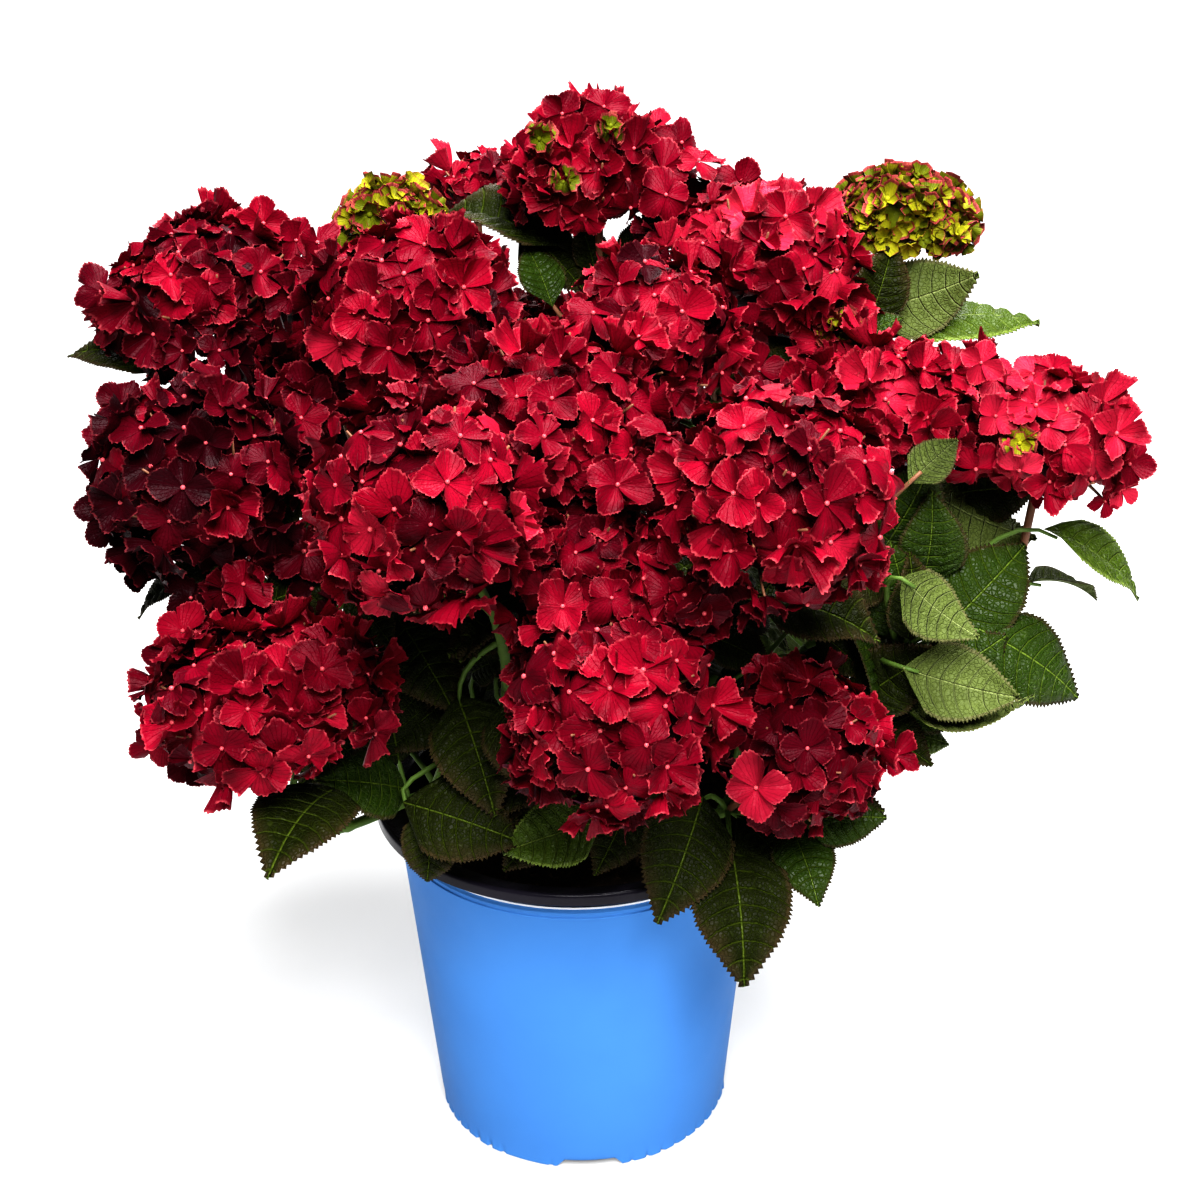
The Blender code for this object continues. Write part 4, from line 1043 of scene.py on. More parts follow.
def floret_model(rng):
    floret = Heap()
    pointed, cup = rng.uniform(0.1, 1.0), rng.choice(CUPS)
    for quarter in range(SEPALS):
        turn = quarter_turn(quarter, 8.0, rng)
        tilt = Matrix.Rotation(math.radians(rng.uniform(-12.0, 12.0)), 4, "X")
        size = Matrix.Scale(rng.uniform(0.84, 1.10), 4)
        sepal = sepal_model(rng, pointed + rng.uniform(-0.1, 0.1), cup + rng.uniform(-0.12, 0.12))
        floret.copy(sepal, turn @ tilt @ size)
    return with_bud(floret, 1.0, EYE_HEIGHT, EYE)


deselect_all()
bpy.ops.mesh.primitive_ico_sphere_add(subdivisions=1, radius=EYE_RADIUS)
bead = model_of(bpy.context.object)
petal_rng = random.Random("florets")
floret_models = [floret_model(petal_rng) for _kind in range(FLORET_KINDS)]
print("triangles in a floret:", len(floret_models[0][1]))

# %% [markdown]
# ## The flower heads
# A mophead is a dome of florets that all face outwards, so their middles lie on a ball that is
# pressed flat from above, spread by the golden angle. Where two heads press on each other, the
# florets stop at the wall between them, and a ring of them lines the groove, a little darker as
# painted shade. Those low on a head's side are darker, as painted shade. A dark ball fills the
# inside as painted shade, where the stalks lie in shadow. A few florets stand alone, in a groove,
# on the outline or on a long stalk, and a table places those.

# %% Spread florets over a head
GOLDEN_ANGLE = math.pi * (3.0 - math.sqrt(5.0))
ANY_SPIN = (0.0, 6.3)
TONE_SPREAD = 0.15              # of the florets of one head
RAGGED_SHARE = 0.06             # of the florets stand out further than the rest
RAGGED_OUT = (0.02, 0.09)
PAST_WALL = 0.002
FLORET_SIZES = (0.84, 1.10)


def even_directions(count, arch, rng):
    """Even directions over the top of a ball, down to an angle from its top."""
    last = math.cos(math.radians(arch))
    turn = rng.uniform(0.0, FULL_TURN)
    directions = []
    for k in range(count):
        up = 1.0 - (k + 0.5) / count * (1.0 - last)
        flat = math.sqrt(max(0.0, 1.0 - up * up))
        directions.append(Vector((flat * math.cos(turn), flat * math.sin(turn), up)))
        turn += GOLDEN_ANGLE + rng.uniform(-0.12, 0.12)
    return directions


def head_places(head, count, arch, sink, rng):
    """Middles of a head's florets and the ways they face, and how high each is on the head."""
    for direction in even_directions(count, arch, rng):
        place = head.centre + head.put(direction) * rng.uniform(*sink)
        if rng.random() < RAGGED_SHARE:
            place += head.put(direction) * rng.uniform(*RAGGED_OUT)
        if beyond_walls(place, head.walls) <= PAST_WALL:
            facing = head.turn @ Vector((*direction.xy, direction.z / head.height))
            yield place, facing.normalized(), direction.z


def standing(place, facing, spin, size):
    """The matrix that stands a model on a place, facing a way and turned by a spin."""
    turn = UP.rotation_difference(facing).to_matrix().to_4x4()
    return (Matrix.Translation(place) @ turn @ Matrix.Rotation(spin, 4, "Z")
            @ Matrix.Scale(size, 4))


def tilted(facing, degrees, rng):
    """A way near the facing, off by up to so many degrees."""
    off = side_of(facing)
    off.rotate(Matrix.Rotation(rng.uniform(0.0, FULL_TURN), 3, facing))
    return (facing + off * math.tan(math.radians(rng.uniform(0.0, degrees)))).normalized()


def place_floret(heap, place, way, reach, brightness, rng):
    """Stands a floret on a place, in a tone near the brightness, which is partly painted light
    and shade.
    """
    last = len(SEPAL_TONES) - 1
    number = min(last, max(0, round(rng.gauss(brightness, TONE_SPREAD) * last)))
    matrix = standing(place, way, rng.uniform(*ANY_SPIN), reach * rng.uniform(*FLORET_SIZES))
    heap.copy(rng.choice(floret_models), matrix, [number, len(SEPAL_TONES)])


# %% Fill the heads, their grooves and their insides
FULL_BLOOM_RADIUS = 0.058
FLORETS, FEWEST_FLORETS = 80, 14
FLORET_ARCH = 126.0
FLORET_REACH = 0.0165           # a sepal's length on most heads
FLORET_SINK = (0.66, 0.86)
# Painted shade: florets low on a head's side get a darker tone.
LOW_ON_HEAD, LOW_PAINTED_SHADE = -0.05, 0.10
# Florets in a groove: how close the heads must be, how many there are, and how much darker they
# are as painted shade.
CREVICE_GAP, CREVICE_FLORETS, CREVICE_PAINTED_SHADE = 0.012, 7, 0.08
CREVICE_DEPTH, CREVICE_OUT, CREVICE_SIZE = 0.88, (0.003, 0.014), 0.92
HEART_SHARE, HEART_GAP = 0.60, 0.004
# The dark ball inside each head takes this tone, as painted shade.
DARKEST = 0                     # the first of the sepal tones


def fill_red_head(heap, head, rng):
    share = head.radius / FULL_BLOOM_RADIUS
    count = max(FEWEST_FLORETS, round(FLORETS * share ** 1.5))
    reach = FLORET_REACH * (0.72 + 0.28 * share)
    for place, facing, high in head_places(head, count, FLORET_ARCH, FLORET_SINK, rng):
        # Painted shade: florets low on the side are darker.
        brightness = head.brightness - (LOW_PAINTED_SHADE if high < LOW_ON_HEAD else 0.0)
        place_floret(heap, place, tilted(facing, 34.0, rng), reach, brightness, rng)


def fill_crevice(heap, head, other, rng):
    """A ring of florets in the groove where two heads press on each other, darker as painted
    shade.
    """
    way, reach, spare = head.meets(other)
    if spare > CREVICE_GAP:
        return
    wall = reach + spare / 2.0
    groove = math.sqrt(max(0.0, reach ** 2 - wall ** 2))
    brightness = (head.brightness + other.brightness) / 2.0 - CREVICE_PAINTED_SHADE
    for k in range(CREVICE_FLORETS):
        turn = FULL_TURN * (k + rng.uniform(0.0, 0.6)) / CREVICE_FLORETS
        facing = Matrix.Rotation(turn, 3, way) @ side_of(way)
        place = head.centre + way * wall
        place += facing * (CREVICE_DEPTH * groove + rng.uniform(*CREVICE_OUT))
        inside_third = any((place - third.centre).length < 0.80 * third.radius
                           for third in heads.values() if third not in (head, other))
        if facing.z >= -0.55 and not inside_third:
            place_floret(heap, place, tilted(facing, 30.0, rng), FLORET_REACH * CREVICE_SIZE,
                         brightness, rng)


def fill_painted_shade_ball(heap, head, finish_number):
    """A dark ball inside a head as painted shade, pressed like the head itself."""
    points, triangles, _numbers, _own_places = ball
    placed = []
    for point in points:
        spot = head.centre + head.put(point, HEART_SHARE)
        for on_wall, way in head.walls:
            spot -= way * max(0.0, (spot - on_wall).dot(way) + HEART_GAP)
        placed.append(spot)
    heap.add(np.array(placed), triangles, finish_number)


deselect_all()
bpy.ops.mesh.primitive_uv_sphere_add(segments=16, ring_count=8, radius=1.0)
ball = model_of(bpy.context.object)
print("triangles in a heart:", len(ball[1]))

# %% Place the florets of the red heads
# Florets that stand alone: head, x, y, z, brightness, which is partly painted light and shade,
# and size
LOOSE_FLORETS = (
    ("left_middle", -189, -22, 475, 12, 100),
    ("left_middle", -207, -18, 462, 10, 90),
    ("left_middle", -161, -75, 378, 16, 100),
    ("left_middle", -133, -75, 381, 20, 100),
    ("left_low", -190, -85, 361, 20, 90),
    ("left_low", -172, -88, 366, 25, 90),
    ("front_left_top", -132, -58, 445, 25, 90),
    ("right_top", 98, 4, 447, 36, 100),
    ("right_top", 118, -4, 440, 45, 90),
    ("far_right", 286, -20, 387, 95, 75),
    ("far_right", 277, -24, 382, 70, 75),
    ("far_right", 289, -20, 401, 80, 85),
    ("far_right", 238, -30, 391, 60, 80),
    ("left_middle", -224, -40, 447, 20, 90),
    ("left_middle", -228, -45, 430, 10, 90),
    ("left_middle", -231, -55, 388, 5, 90),
    ("left_middle", -222, -60, 367, 10, 90),
    ("left_middle", -156, -55, 392, 16, 100),
    ("left_middle", -130, -80, 363, 24, 100),
    ("left_low", -203, -120, 298, 30, 90),
    ("left_low", -191, -120, 288, 40, 90),
    ("left_low", -192, -100, 350, 40, 90),
    ("left_low", -200, -110, 341, 30, 80),
    ("left_top", -156, 20, 523, 50, 90),
    ("left_top", -140, 20, 514, 40, 90),
    ("left_top", -131, 10, 503, 30, 90),
    ("top", 47, 95, 553, 60, 90),
    ("top", 58, 90, 543, 50, 90),
    ("top", 92, 70, 528, 55, 90),
    ("low_right", 163, -100, 275, 25, 80),
    ("far_right", 236, -15, 449, 80, 80),
    ("right", 170, -30, 392, 30, 80),
    ("top", -3, 75, 566, 55, 80),
    ("top", 19, 70, 570, 45, 90),
    ("top", 60, 80, 549, 45, 85),
    ("left_top", -126, 0, 518, 35, 75),
    ("left_top", -238, 0, 494, 15, 85),
    ("left_low", -210, -115, 295, 35, 80),
    ("left_middle", -238, -50, 396, 5, 80),
    ("far_right", 246, -15, 451, 85, 80),
    ("right", 205, -36, 462, 65, 75),
)
LOOSE_FACING = Vector((0.1, -0.75, 0.45)).normalized()
HEADS_A_PIECE = 6
red_names = sorted(RED_BLOOMS, key=lambda name: RED_BLOOMS[name][1])     # from front to back
for number, group in in_groups(red_names, HEADS_A_PIECE):
    heap = Heap()
    for name in group:
        rng = random.Random("florets of " + name)
        fill_red_head(heap, heads[name], rng)
        # Painted shade: a dark ball inside the head.
        fill_painted_shade_ball(heap, heads[name], DARKEST)
        for other in red_names:
            if name < other:
                fill_crevice(heap, heads[name], heads[other], rng)
        for owner, x, y, z, brightness, size in LOOSE_FLORETS:
            if owner == name:
                place_floret(heap, in_metres((x, y, z)), tilted(LOOSE_FACING, 30.0, rng),
                             FLORET_REACH * (size / 100.0), brightness / 100.0, rng)
    heap.piece(f"red_heads_{number}", RED_FINISHES, "petal_red",
               ["bloom_" + name for name in group])

# %% [markdown]
# ## The two young heads
# Two heads are still opening. Their florets are half the size and lime green, with rose tips,
# most of all near the top. They are made like the large ones, from a plainer floret of four
# small cups. Some tiny clusters of them stand between the red heads, and a table places those.

# %% Place the small green florets
YOUNG_STRIPS = (-1.0, -0.35, 0.35, 1.0)
YOUNG_RINGS = (0.12, 0.60, 0.86, 1.0)
YOUNG_HALF_ANGLE = math.radians(52.0)
YOUNG_KINDS = 4
YOUNG_REACH = 0.0080
YOUNG_FLORETS, YOUNG_FULL_RADIUS = 230, 0.040
YOUNG_ARCH, YOUNG_SINK = 120.0, (0.72, 1.00)
YOUNG_BUD_SIZE, YOUNG_BUD_HEIGHT = 2.6, 0.06
LIME, MOSS, ROSE = range(3)
# Small clusters of young florets: x, y, z of the middle, radius, how many and their tone
YOUNG_BITS = (
    (140, 4, 466, 8.0, 34, LIME),
    (-14, 56, 558, 2.6, 5, MOSS),
    (22, 56, 561, 2.6, 5, MOSS),
    (-2, 44, 538, 2.6, 4, MOSS),
    (224, -52, 426, 3.5, 5, LIME),
)


def young_sepal_model(rng):
    cup = rng.uniform(0.35, 1.05)

    def lay(x, y):
        across, ring = stop_at(YOUNG_STRIPS, x), stop_at(YOUNG_RINGS, y)
        turn = YOUNG_HALF_ANGLE * across
        reach = ring * (1.0 - 0.42 * abs(across) ** 1.4)
        return ((reach * math.sin(turn), reach * math.cos(turn), cup * ring ** 2),
                (across, ring, 0.0))

    strips, rings = len(YOUNG_STRIPS) - 1, len(YOUNG_RINGS) - 1
    piece = laid_grid("young_sepal", strips, rings, lay)
    for face in piece.data.polygons:
        face.material_index = 1 if face.index >= (rings - 1) * strips else 0
    return model_of(piece)


def young_model(rng):
    floret = Heap()
    for quarter in range(SEPALS):
        turn = quarter_turn(quarter, 12.0, rng)
        floret.copy(young_sepal_model(rng), turn @ Matrix.Scale(rng.uniform(0.85, 1.1), 4))
    return with_bud(floret, YOUNG_BUD_SIZE, YOUNG_BUD_HEIGHT, 0)


def place_young(place, facing, off, sizes, tones):
    matrix = standing(place, tilted(facing, off, young_rng), young_rng.uniform(*ANY_SPIN),
                      YOUNG_REACH * young_rng.uniform(*sizes))
    young_heads.copy(young_rng.choice(young_models), matrix, tones)


young_rng = random.Random("young florets")
young_models = [young_model(young_rng) for _kind in range(YOUNG_KINDS)]
young_heads = Heap()
for name in GREEN_BLOOMS:
    count = round(YOUNG_FLORETS * (heads[name].radius / YOUNG_FULL_RADIUS) ** 2)
    for place, facing, high in head_places(heads[name], count, YOUNG_ARCH, YOUNG_SINK, young_rng):
        body = MOSS if young_rng.random() < 0.42 - 0.30 * high else LIME
        tip = ROSE if young_rng.random() < 0.45 + 0.35 * high else body
        place_young(place, facing, 55.0, (0.65, 1.20), [body, tip])
    # Painted shade: a dark moss ball fills the inside.
    fill_painted_shade_ball(young_heads, heads[name], MOSS)
for x, y, z, radius, count, body in YOUNG_BITS:
    for way in even_directions(count, 140.0, young_rng):
        place = in_metres((x, y, z)) + way * (radius / 1000.0)
        place_young(place, way, 40.0, (0.7, 1.0), [body, ROSE])
young_heads.piece("young_heads", YOUNG_FINISHES, "petal_green",
                  ["bloom_" + name for name in GREEN_BLOOMS])

# %% [markdown]
# ## A leaf
# Hydrangea leaves are as broad as a hand. Side veins leave the midrib in pairs and curve
# forwards to the edge, the blade swells between them like a quilt, and the edge has coarse teeth
# that point to the tip. Here a grid's rows follow the side veins, with two rows of swelling
# between one vein and the next, and the finish draws the veins themselves. The edge is
# subdivided into teeth. A triangulate modifier fixes the creases, so that both sides of the
# leaf have the same ones, and a solidify modifier adds the underside as faces of their own.

# %% Model a few leaves
VEINS, ROWS_PER_VEIN = 7, 3
LEAF_COLUMNS = (-1.0, -0.66, -0.33, 0.0, 0.33, 0.66, 1.0)
LEAF_PROFILE_AT = (0.0, 0.04, 0.10, 0.25, 0.42, 0.60, 0.75, 0.87, 0.95, 1.0)
LEAF_PROFILE = (0.06, 0.30, 0.56, 0.90, 1.00, 0.89, 0.64, 0.34, 0.14, 0.0)
FORWARD = 0.27                  # how far a side vein runs forwards to the edge
LEAF_ARCH, LEAF_EDGE_DROP = 0.09, 0.05
QUILT_HEIGHT, WAVE_HEIGHT = 0.034, 0.014
TOOTH = (0.020, 0.013, -0.002)  # how far a tooth's tip stands off the edge
TOOTHED_LENGTH = 0.02           # the shortest edge that gets a tooth
LEAF_THICKNESS = 0.005
LEAF_KINDS = 8
LEAST_FOLD, FOLD_SPAN = -0.04, 0.24

LEAF_ROWS = [0.0, 0.5 * VEIN_START]
for vein in range(VEINS):
    LEAF_ROWS += [VEIN_START + VEIN_SPACING * (vein + part / ROWS_PER_VEIN)
                  for part in range(ROWS_PER_VEIN)]
LEAF_ROWS += [(LEAF_ROWS[-1] + 1.0) / 2.0, 1.0]


def quilt(row):
    """0 on a side vein and 1 half way between two of them."""
    return abs(math.sin(math.pi * (row - VEIN_START) / VEIN_SPACING))


def leaf_model(rng, fold):
    """One leaf of length 1, with its edges raised by the fold or, where that is less than 0,
    lowered."""
    width = len(LEAF_COLUMNS)
    wave, lift = rng.uniform(0.0, 6.3), rng.uniform(0.6, 1.3)
    roll, tip_drop = rng.uniform(-0.06, 0.06), rng.uniform(0.0, 0.10)

    def lay(x, y):
        across, row = stop_at(LEAF_COLUMNS, x), stop_at(LEAF_ROWS, y)
        wide = abs(across)
        along = row + FORWARD * (1.0 - row) * wide ** (1.2 + (1.0 - row) ** 2)
        half = LEAF_HALF_WIDTH * float(np.interp(along, LEAF_PROFILE_AT, LEAF_PROFILE))
        up = 4.0 * LEAF_ARCH * along * (1.0 - along) - tip_drop * along ** 4
        up += (fold * wide - LEAF_EDGE_DROP * wide ** 2) * min(1.0, half / 0.2)
        up += QUILT_HEIGHT * lift * quilt(row) * (1.0 - wide ** 3) * min(1.0, wide * 4.0)
        up += WAVE_HEIGHT * math.sin(9.0 * along + wave + 1.5 * across) * wide ** 2
        up += roll * across * half / LEAF_HALF_WIDTH
        return (across * half, along, up), (across, row, across * half)

    def on_the_edge(edge):
        first, second = edge.verts
        same_side = abs(first.index - second.index) == width
        at_edge = first.index % width in (0, width - 1)
        return same_side and at_edge and edge.calc_length() > TOOTHED_LENGTH

    piece = laid_grid("leaf", width - 1, len(LEAF_ROWS) - 1, lay)
    first_tooth = len(piece.data.vertices)
    teeth = cut_edges(piece, on_the_edge, 1)
    for k in range(first_tooth, len(teeth)):
        side = 1.0 if teeth[k][0] > 0.0 else -1.0
        teeth[k] += np.array((TOOTH[0] * side, TOOTH[1], TOOTH[2])) * rng.uniform(0.7, 1.3)
    move_points(piece.data, teeth)
    for _side in ("upper", "lower"):
        piece.data.materials.append(None)
    add_modifier(piece, "TRIANGULATE")
    add_modifier(piece, "SOLIDIFY", thickness=LEAF_THICKNESS, offset=-1.0,
                 material_offset=1, material_offset_rim=0)
    return model_of(piece)


def flipped(model):
    """The mirror image of a model, with its faces turned outwards again."""
    points, triangles, numbers, own_places = model
    return points * np.array([-1.0, 1.0, 1.0]), triangles[:, ::-1], numbers, own_places


leaf_rng = random.Random("leaf models")
leaf_models = [leaf_model(leaf_rng, LEAST_FOLD + FOLD_SPAN * kind / LEAF_KINDS)
               for kind in range(LEAF_KINDS)]
leaf_models += [flipped(model) for model in leaf_models]
print("triangles in a leaf:", len(leaf_models[0][1]))

# %% [markdown]
# ## Foliage
# Every leaf is a copy of one of the models, scaled to its own length and turned to its own
# facing. As painted light, leaves far out get a lighter green, most of all on the right where the
# light comes from. As painted shade, those deep inside the shrub get a dark one. The leaves that
# were placed one by one carry a green of their own, lighter or darker in the same way.

# %% Place the leaves
# Blade greens: dark as painted shade, mid, and light as painted light; then the underside.
SHADED_GREEN, MID, LIT_GREEN, UNDER = range(4)
FOLIAGE_MIDDLE, FOLIAGE_HALVES = 0.25, (0.26, 0.24, 0.27)     # height, and half its sizes
LIT_GREEN_FROM, MID_LIGHT = 1.25, 0.75
STEMS_A_PIECE = 8


def leaf_matrix(leaf):
    along = leaf.tip - leaf.base
    length = along.length
    along.normalize()
    face = (leaf.facing - along * leaf.facing.dot(along)).normalized()
    columns = Matrix((along.cross(face), along, face)).transposed().to_4x4()
    return Matrix.Translation(leaf.base) @ columns @ Matrix.Scale(length, 4)


def leaf_tones(leaf, rng):
    """The green of the blade and of the underside: lighter far out and on the right as painted
    light, darker inside as painted shade.
    """
    if leaf.tone:
        return ["dmf".index(leaf.tone), UNDER]
    wide, deep, tall = FOLIAGE_HALVES
    middle = leaf.base.lerp(leaf.tip, 0.5)
    out = Vector((middle.x / wide, middle.y / deep, (middle.z - FOLIAGE_MIDDLE) / tall)).length
    # Painted light and shade: far out and to the right is lit, deep inside is shaded.
    light = out + 0.25 * middle.x / wide + rng.uniform(-0.25, 0.25)
    return [LIT_GREEN if light > LIT_GREEN_FROM else MID if light > MID_LIGHT else SHADED_GREEN, UNDER]


foliage_rng = random.Random("foliage")
for number, group in in_groups(stems, STEMS_A_PIECE):
    heap = Heap()
    for leaf in leaves:
        if leaf.stem in group:
            heap.copy(foliage_rng.choice(leaf_models), leaf_matrix(leaf),
                      leaf_tones(leaf, foliage_rng))
    heap.piece(f"foliage_{number}", LEAF_FINISHES, "leaf", ["leaves_" + name for name in group])

# %% [markdown]
# ## Green stems, leaf stalks and flower stalks
# The green parts are round tubes along the curves of the plan. A shoot thickens at each joint,
# where two leaves sit. High up the leaf stalks flush red, and so do the flower stalks. Under
# each head the stalk splits into branches that end among its florets.

# %% A tube along a curve
def tube(path, radii, sides):
    """Points and triangles of a round tube with closed ends along a path."""
    count = len(path)
    rings = []
    across = side_of((path[1] - path[0]).normalized())
    for k, centre in enumerate(path):
        ahead = (path[min(k + 1, count - 1)] - path[max(k - 1, 0)]).normalized()
        across = (across - ahead * across.dot(ahead)).normalized()
        other = ahead.cross(across)
        for side in range(sides):
            turn = FULL_TURN * side / sides
            rings.append(centre + (across * math.cos(turn) + other * math.sin(turn)) * radii[k])
    points = np.array(rings + [path[0], path[-1]])
    triangles = []
    for k in range(count - 1):
        for side in range(sides):
            a, b = k * sides + side, k * sides + (side + 1) % sides
            triangles += [(a, b, b + sides), (a, b + sides, a + sides)]
    low, high = count * sides, count * sides + 1
    for side in range(sides):
        after = (side + 1) % sides
        triangles += [(low, after, side), (high, low - sides + side, low - sides + after)]
    return points, np.array(triangles)


def thinning_tube(controls, count, first, last, sides, start=0.0):
    """A tube along a curve, from its first radius to its last."""
    radii = [first + (last - first) * k / (count - 1) for k in range(count)]
    return tube(curve_points(controls, start, 1.0, count), radii, sides)


# %% Draw the green tubes
GREEN, FLUSHED = 0, 1
FLUSH_HEIGHT = 0.40
LEAF_STALK, BRANCH, LONE_STALK = (0.0019, 0.0010), (0.0011, 0.0006), (0.0011, 0.0007)
SHOOT_STOPS = 40
JOINT_SWELL = 0.35
BRANCHES, BRANCH_ARCH, BRANCH_REACH, BRANCH_BEND = 21, 112.0, 0.84, 0.12
HUB_SHARE = 0.50                # how deep in a head its branches start
# Stalks of the small bud and of the florets that dangle from the outermost head, as the three
# control points of each
LONE_STALKS = (
    ((146, 30, 430), (141, 12, 450), (140, 6, 462)),
    ((252, -16, 408), (272, -18, 396), (286, -20, 386)),
    ((255, -18, 400), (268, -22, 392), (277, -24, 382)),
)

green = Heap()
for leaf in leaves:
    along = (leaf.tip - leaf.base).normalized()
    reach = (leaf.base - leaf.root).length
    controls = [leaf.root, leaf.base - along * 0.35 * reach,
                leaf.base + along * 0.10 * LEAF_LENGTH]
    green.add(*thinning_tube(controls, 7, *LEAF_STALK, 6),
              FLUSHED if leaf.base.z > FLUSH_HEIGHT else GREEN)
for stem in stems.values():
    green.add(*thinning_tube(stem.cane, 12, CANE_TIP_RADIUS, SHOOT_RADIUS, 10,
                             stem.green_from - 0.02), GREEN)
    for controls in stem.shoots:
        joints = max(1, round((controls[3] - controls[0]).length / JOINT_SPACING))
        radii = []
        for k in range(SHOOT_STOPS):
            share = k / (SHOOT_STOPS - 1.0)
            off = abs((share * joints) % 1.0 - 0.5)
            swell = 1.0 + JOINT_SWELL * max(0.0, 1.0 - off * 9.0)
            radii.append((SHOOT_RADIUS + (TWIG_RADIUS - SHOOT_RADIUS) * k
                          / (SHOOT_STOPS - 1.0)) * swell)
        green.add(*tube(curve_points(controls, 0.0, 1.0, SHOOT_STOPS), radii, 8), GREEN)
    for controls in stem.leafy:
        green.add(*thinning_tube(controls, 24, SHOOT_RADIUS, TWIG_RADIUS, 8), GREEN)
branch_rng = random.Random("flower stalks")
for head in heads.values():
    hub = head.centre - head.axis * head.radius * head.height * HUB_SHARE
    path = [head.foot - head.axis * 0.002, head.foot.lerp(hub, 0.5), hub]
    green.add(*tube(path, [TWIG_RADIUS] * 3, 8), FLUSHED)
    for direction in even_directions(BRANCHES, BRANCH_ARCH, branch_rng):
        end = head.centre + head.put(direction, BRANCH_REACH)
        if beyond_walls(end, head.walls) <= 0.0:
            bent = hub.lerp(end, 0.5) + (end - head.centre) * BRANCH_BEND
            green.add(*thinning_tube([hub, bent, end], 5, *BRANCH, 4), FLUSHED)
for controls in LONE_STALKS:
    controls = [in_metres(control) for control in controls]
    green.add(*thinning_tube(controls, 8, *LONE_STALK, 6), FLUSHED)
green.piece("green_stems", STEM_FINISHES, "leaf")

# %% [markdown]
# ## Old wood
# Last year's canes are woody: grey-brown, a little knotty, with a raised ring where each pair
# of leaves fell off. They all rise from one low boss in the mix. They are tubes too, with rings
# close together that widen at each scar, and every point is moved by noise, for the bark.

# %% Draw the canes and their boss
RING_SPACING = 0.0016
CANE_SIDES, BARE_STOPS = 14, 60
CANE_SINK = 0.006
SCAR_SPACING, SCAR_SWELL, SCAR_WIDTH = 0.017, 0.22, 0.07
CROWN_LEVELS = (0.0, 0.25, 0.45, 0.65, 0.85, 1.0)
CROWN_WIDTHS = (1.0, 1.0, 0.96, 0.90, 0.78, 0.45)
CROWN_RINGS, CROWN_SIDES, CROWN_SINK, CROWN_RISE, CROWN_SLIM = 14, 40, 0.004, 0.003, 0.97
CROWN_BARK, CANE_BARK = (0.0022, 90.0), (0.0007, 380.0)     # depth and fineness of the bark
# Three places to read the noise at, so that a point is pushed along all three axes. The
# function noise_vector would do this too, but it gives other values in every run.
NOISE_SHIFTS = (Vector((9.3, -1.5, -8.0)), Vector((0.0, 0.0, 0.0)), Vector((6.3, 0.2, -2.7)))


def roughened(points, depth, scale):
    """Moves points by noise, so that a surface is uneven, the same way in every run."""
    moved = []
    for point in points:
        push = [noise.noise(Vector(point) * scale + shift) for shift in NOISE_SHIFTS]
        moved.append(point + np.array(push) * depth)
    return np.array(moved)


wood = Heap()
stops = np.linspace(0.0, 1.0, CROWN_RINGS)
table = np.linspace(0.0, 1.0, len(CROWN_LEVELS))
low = MIX_MIDDLE_HEIGHT - CROWN_SINK
path = [Vector((0.0, 0.0, low + level * (CROWN_HEIGHT + CROWN_RISE)))
        for level in np.interp(stops, table, CROWN_LEVELS)]
radii = [CROWN_RADIUS * width * CROWN_SLIM for width in np.interp(stops, table, CROWN_WIDTHS)]
points, triangles = tube(path, radii, CROWN_SIDES)
wood.add(roughened(points, *CROWN_BARK), triangles, 0)
for stem in stems.values():
    path = [stem.root - stem.heading * CANE_SINK, stem.root + stem.heading * 0.5 * STUB_LENGTH]
    path += curve_points(stem.cane, 0.0, CANE_SHARE, BARE_STOPS)
    reach = [0.0]
    for a, b in zip(path, path[1:]):
        reach.append(reach[-1] + (b - a).length)
    count = round(reach[-1] / RING_SPACING)
    stops = np.linspace(0.0, reach[-1], count)
    line = [Vector([float(np.interp(stop, reach, [p[axis] for p in path])) for axis in range(3)])
            for stop in stops]
    radii = []
    for k, stop in enumerate(stops):
        radius = CANE_RADIUS * 1.05 + (CANE_TIP_RADIUS - CANE_RADIUS) * k / count
        off = abs((stop / SCAR_SPACING) % 1.0 - 0.5)
        radii.append(radius * (1.0 + SCAR_SWELL * math.exp(-(off / SCAR_WIDTH) ** 2)))
    points, triangles = tube(line, radii, CANE_SIDES)
    wood.add(roughened(points, *CANE_BARK), triangles, 0)
wood.piece("old_wood", [bark], "bark", ["crown"] + ["cane_" + name for name in stems])

# %% [markdown]
# ## The pot
# A nursery pot is blown from thin black plastic: a tapered wall, a flat flange and an upright
# band round the edge with a rolled lip on top. It is drawn like a potter draws it, as one ring
# of edges that is extruded, moved and widened again and again, up the outside, over the lip and
# down the inside. Four low notches are then lifted into the edge of its foot.

# %% Drawing up a ring
SAME_RING = 2e-5
DOUBLES = 1e-6


def close_shell():
    """Joins doubles and turns all faces outwards, in edit mode."""
    bpy.ops.mesh.select_all(action="SELECT")
    bpy.ops.mesh.remove_doubles(threshold=DOUBLES)
    bpy.ops.mesh.normals_make_consistent(inside=False)
    bpy.ops.object.mode_set(mode="OBJECT")


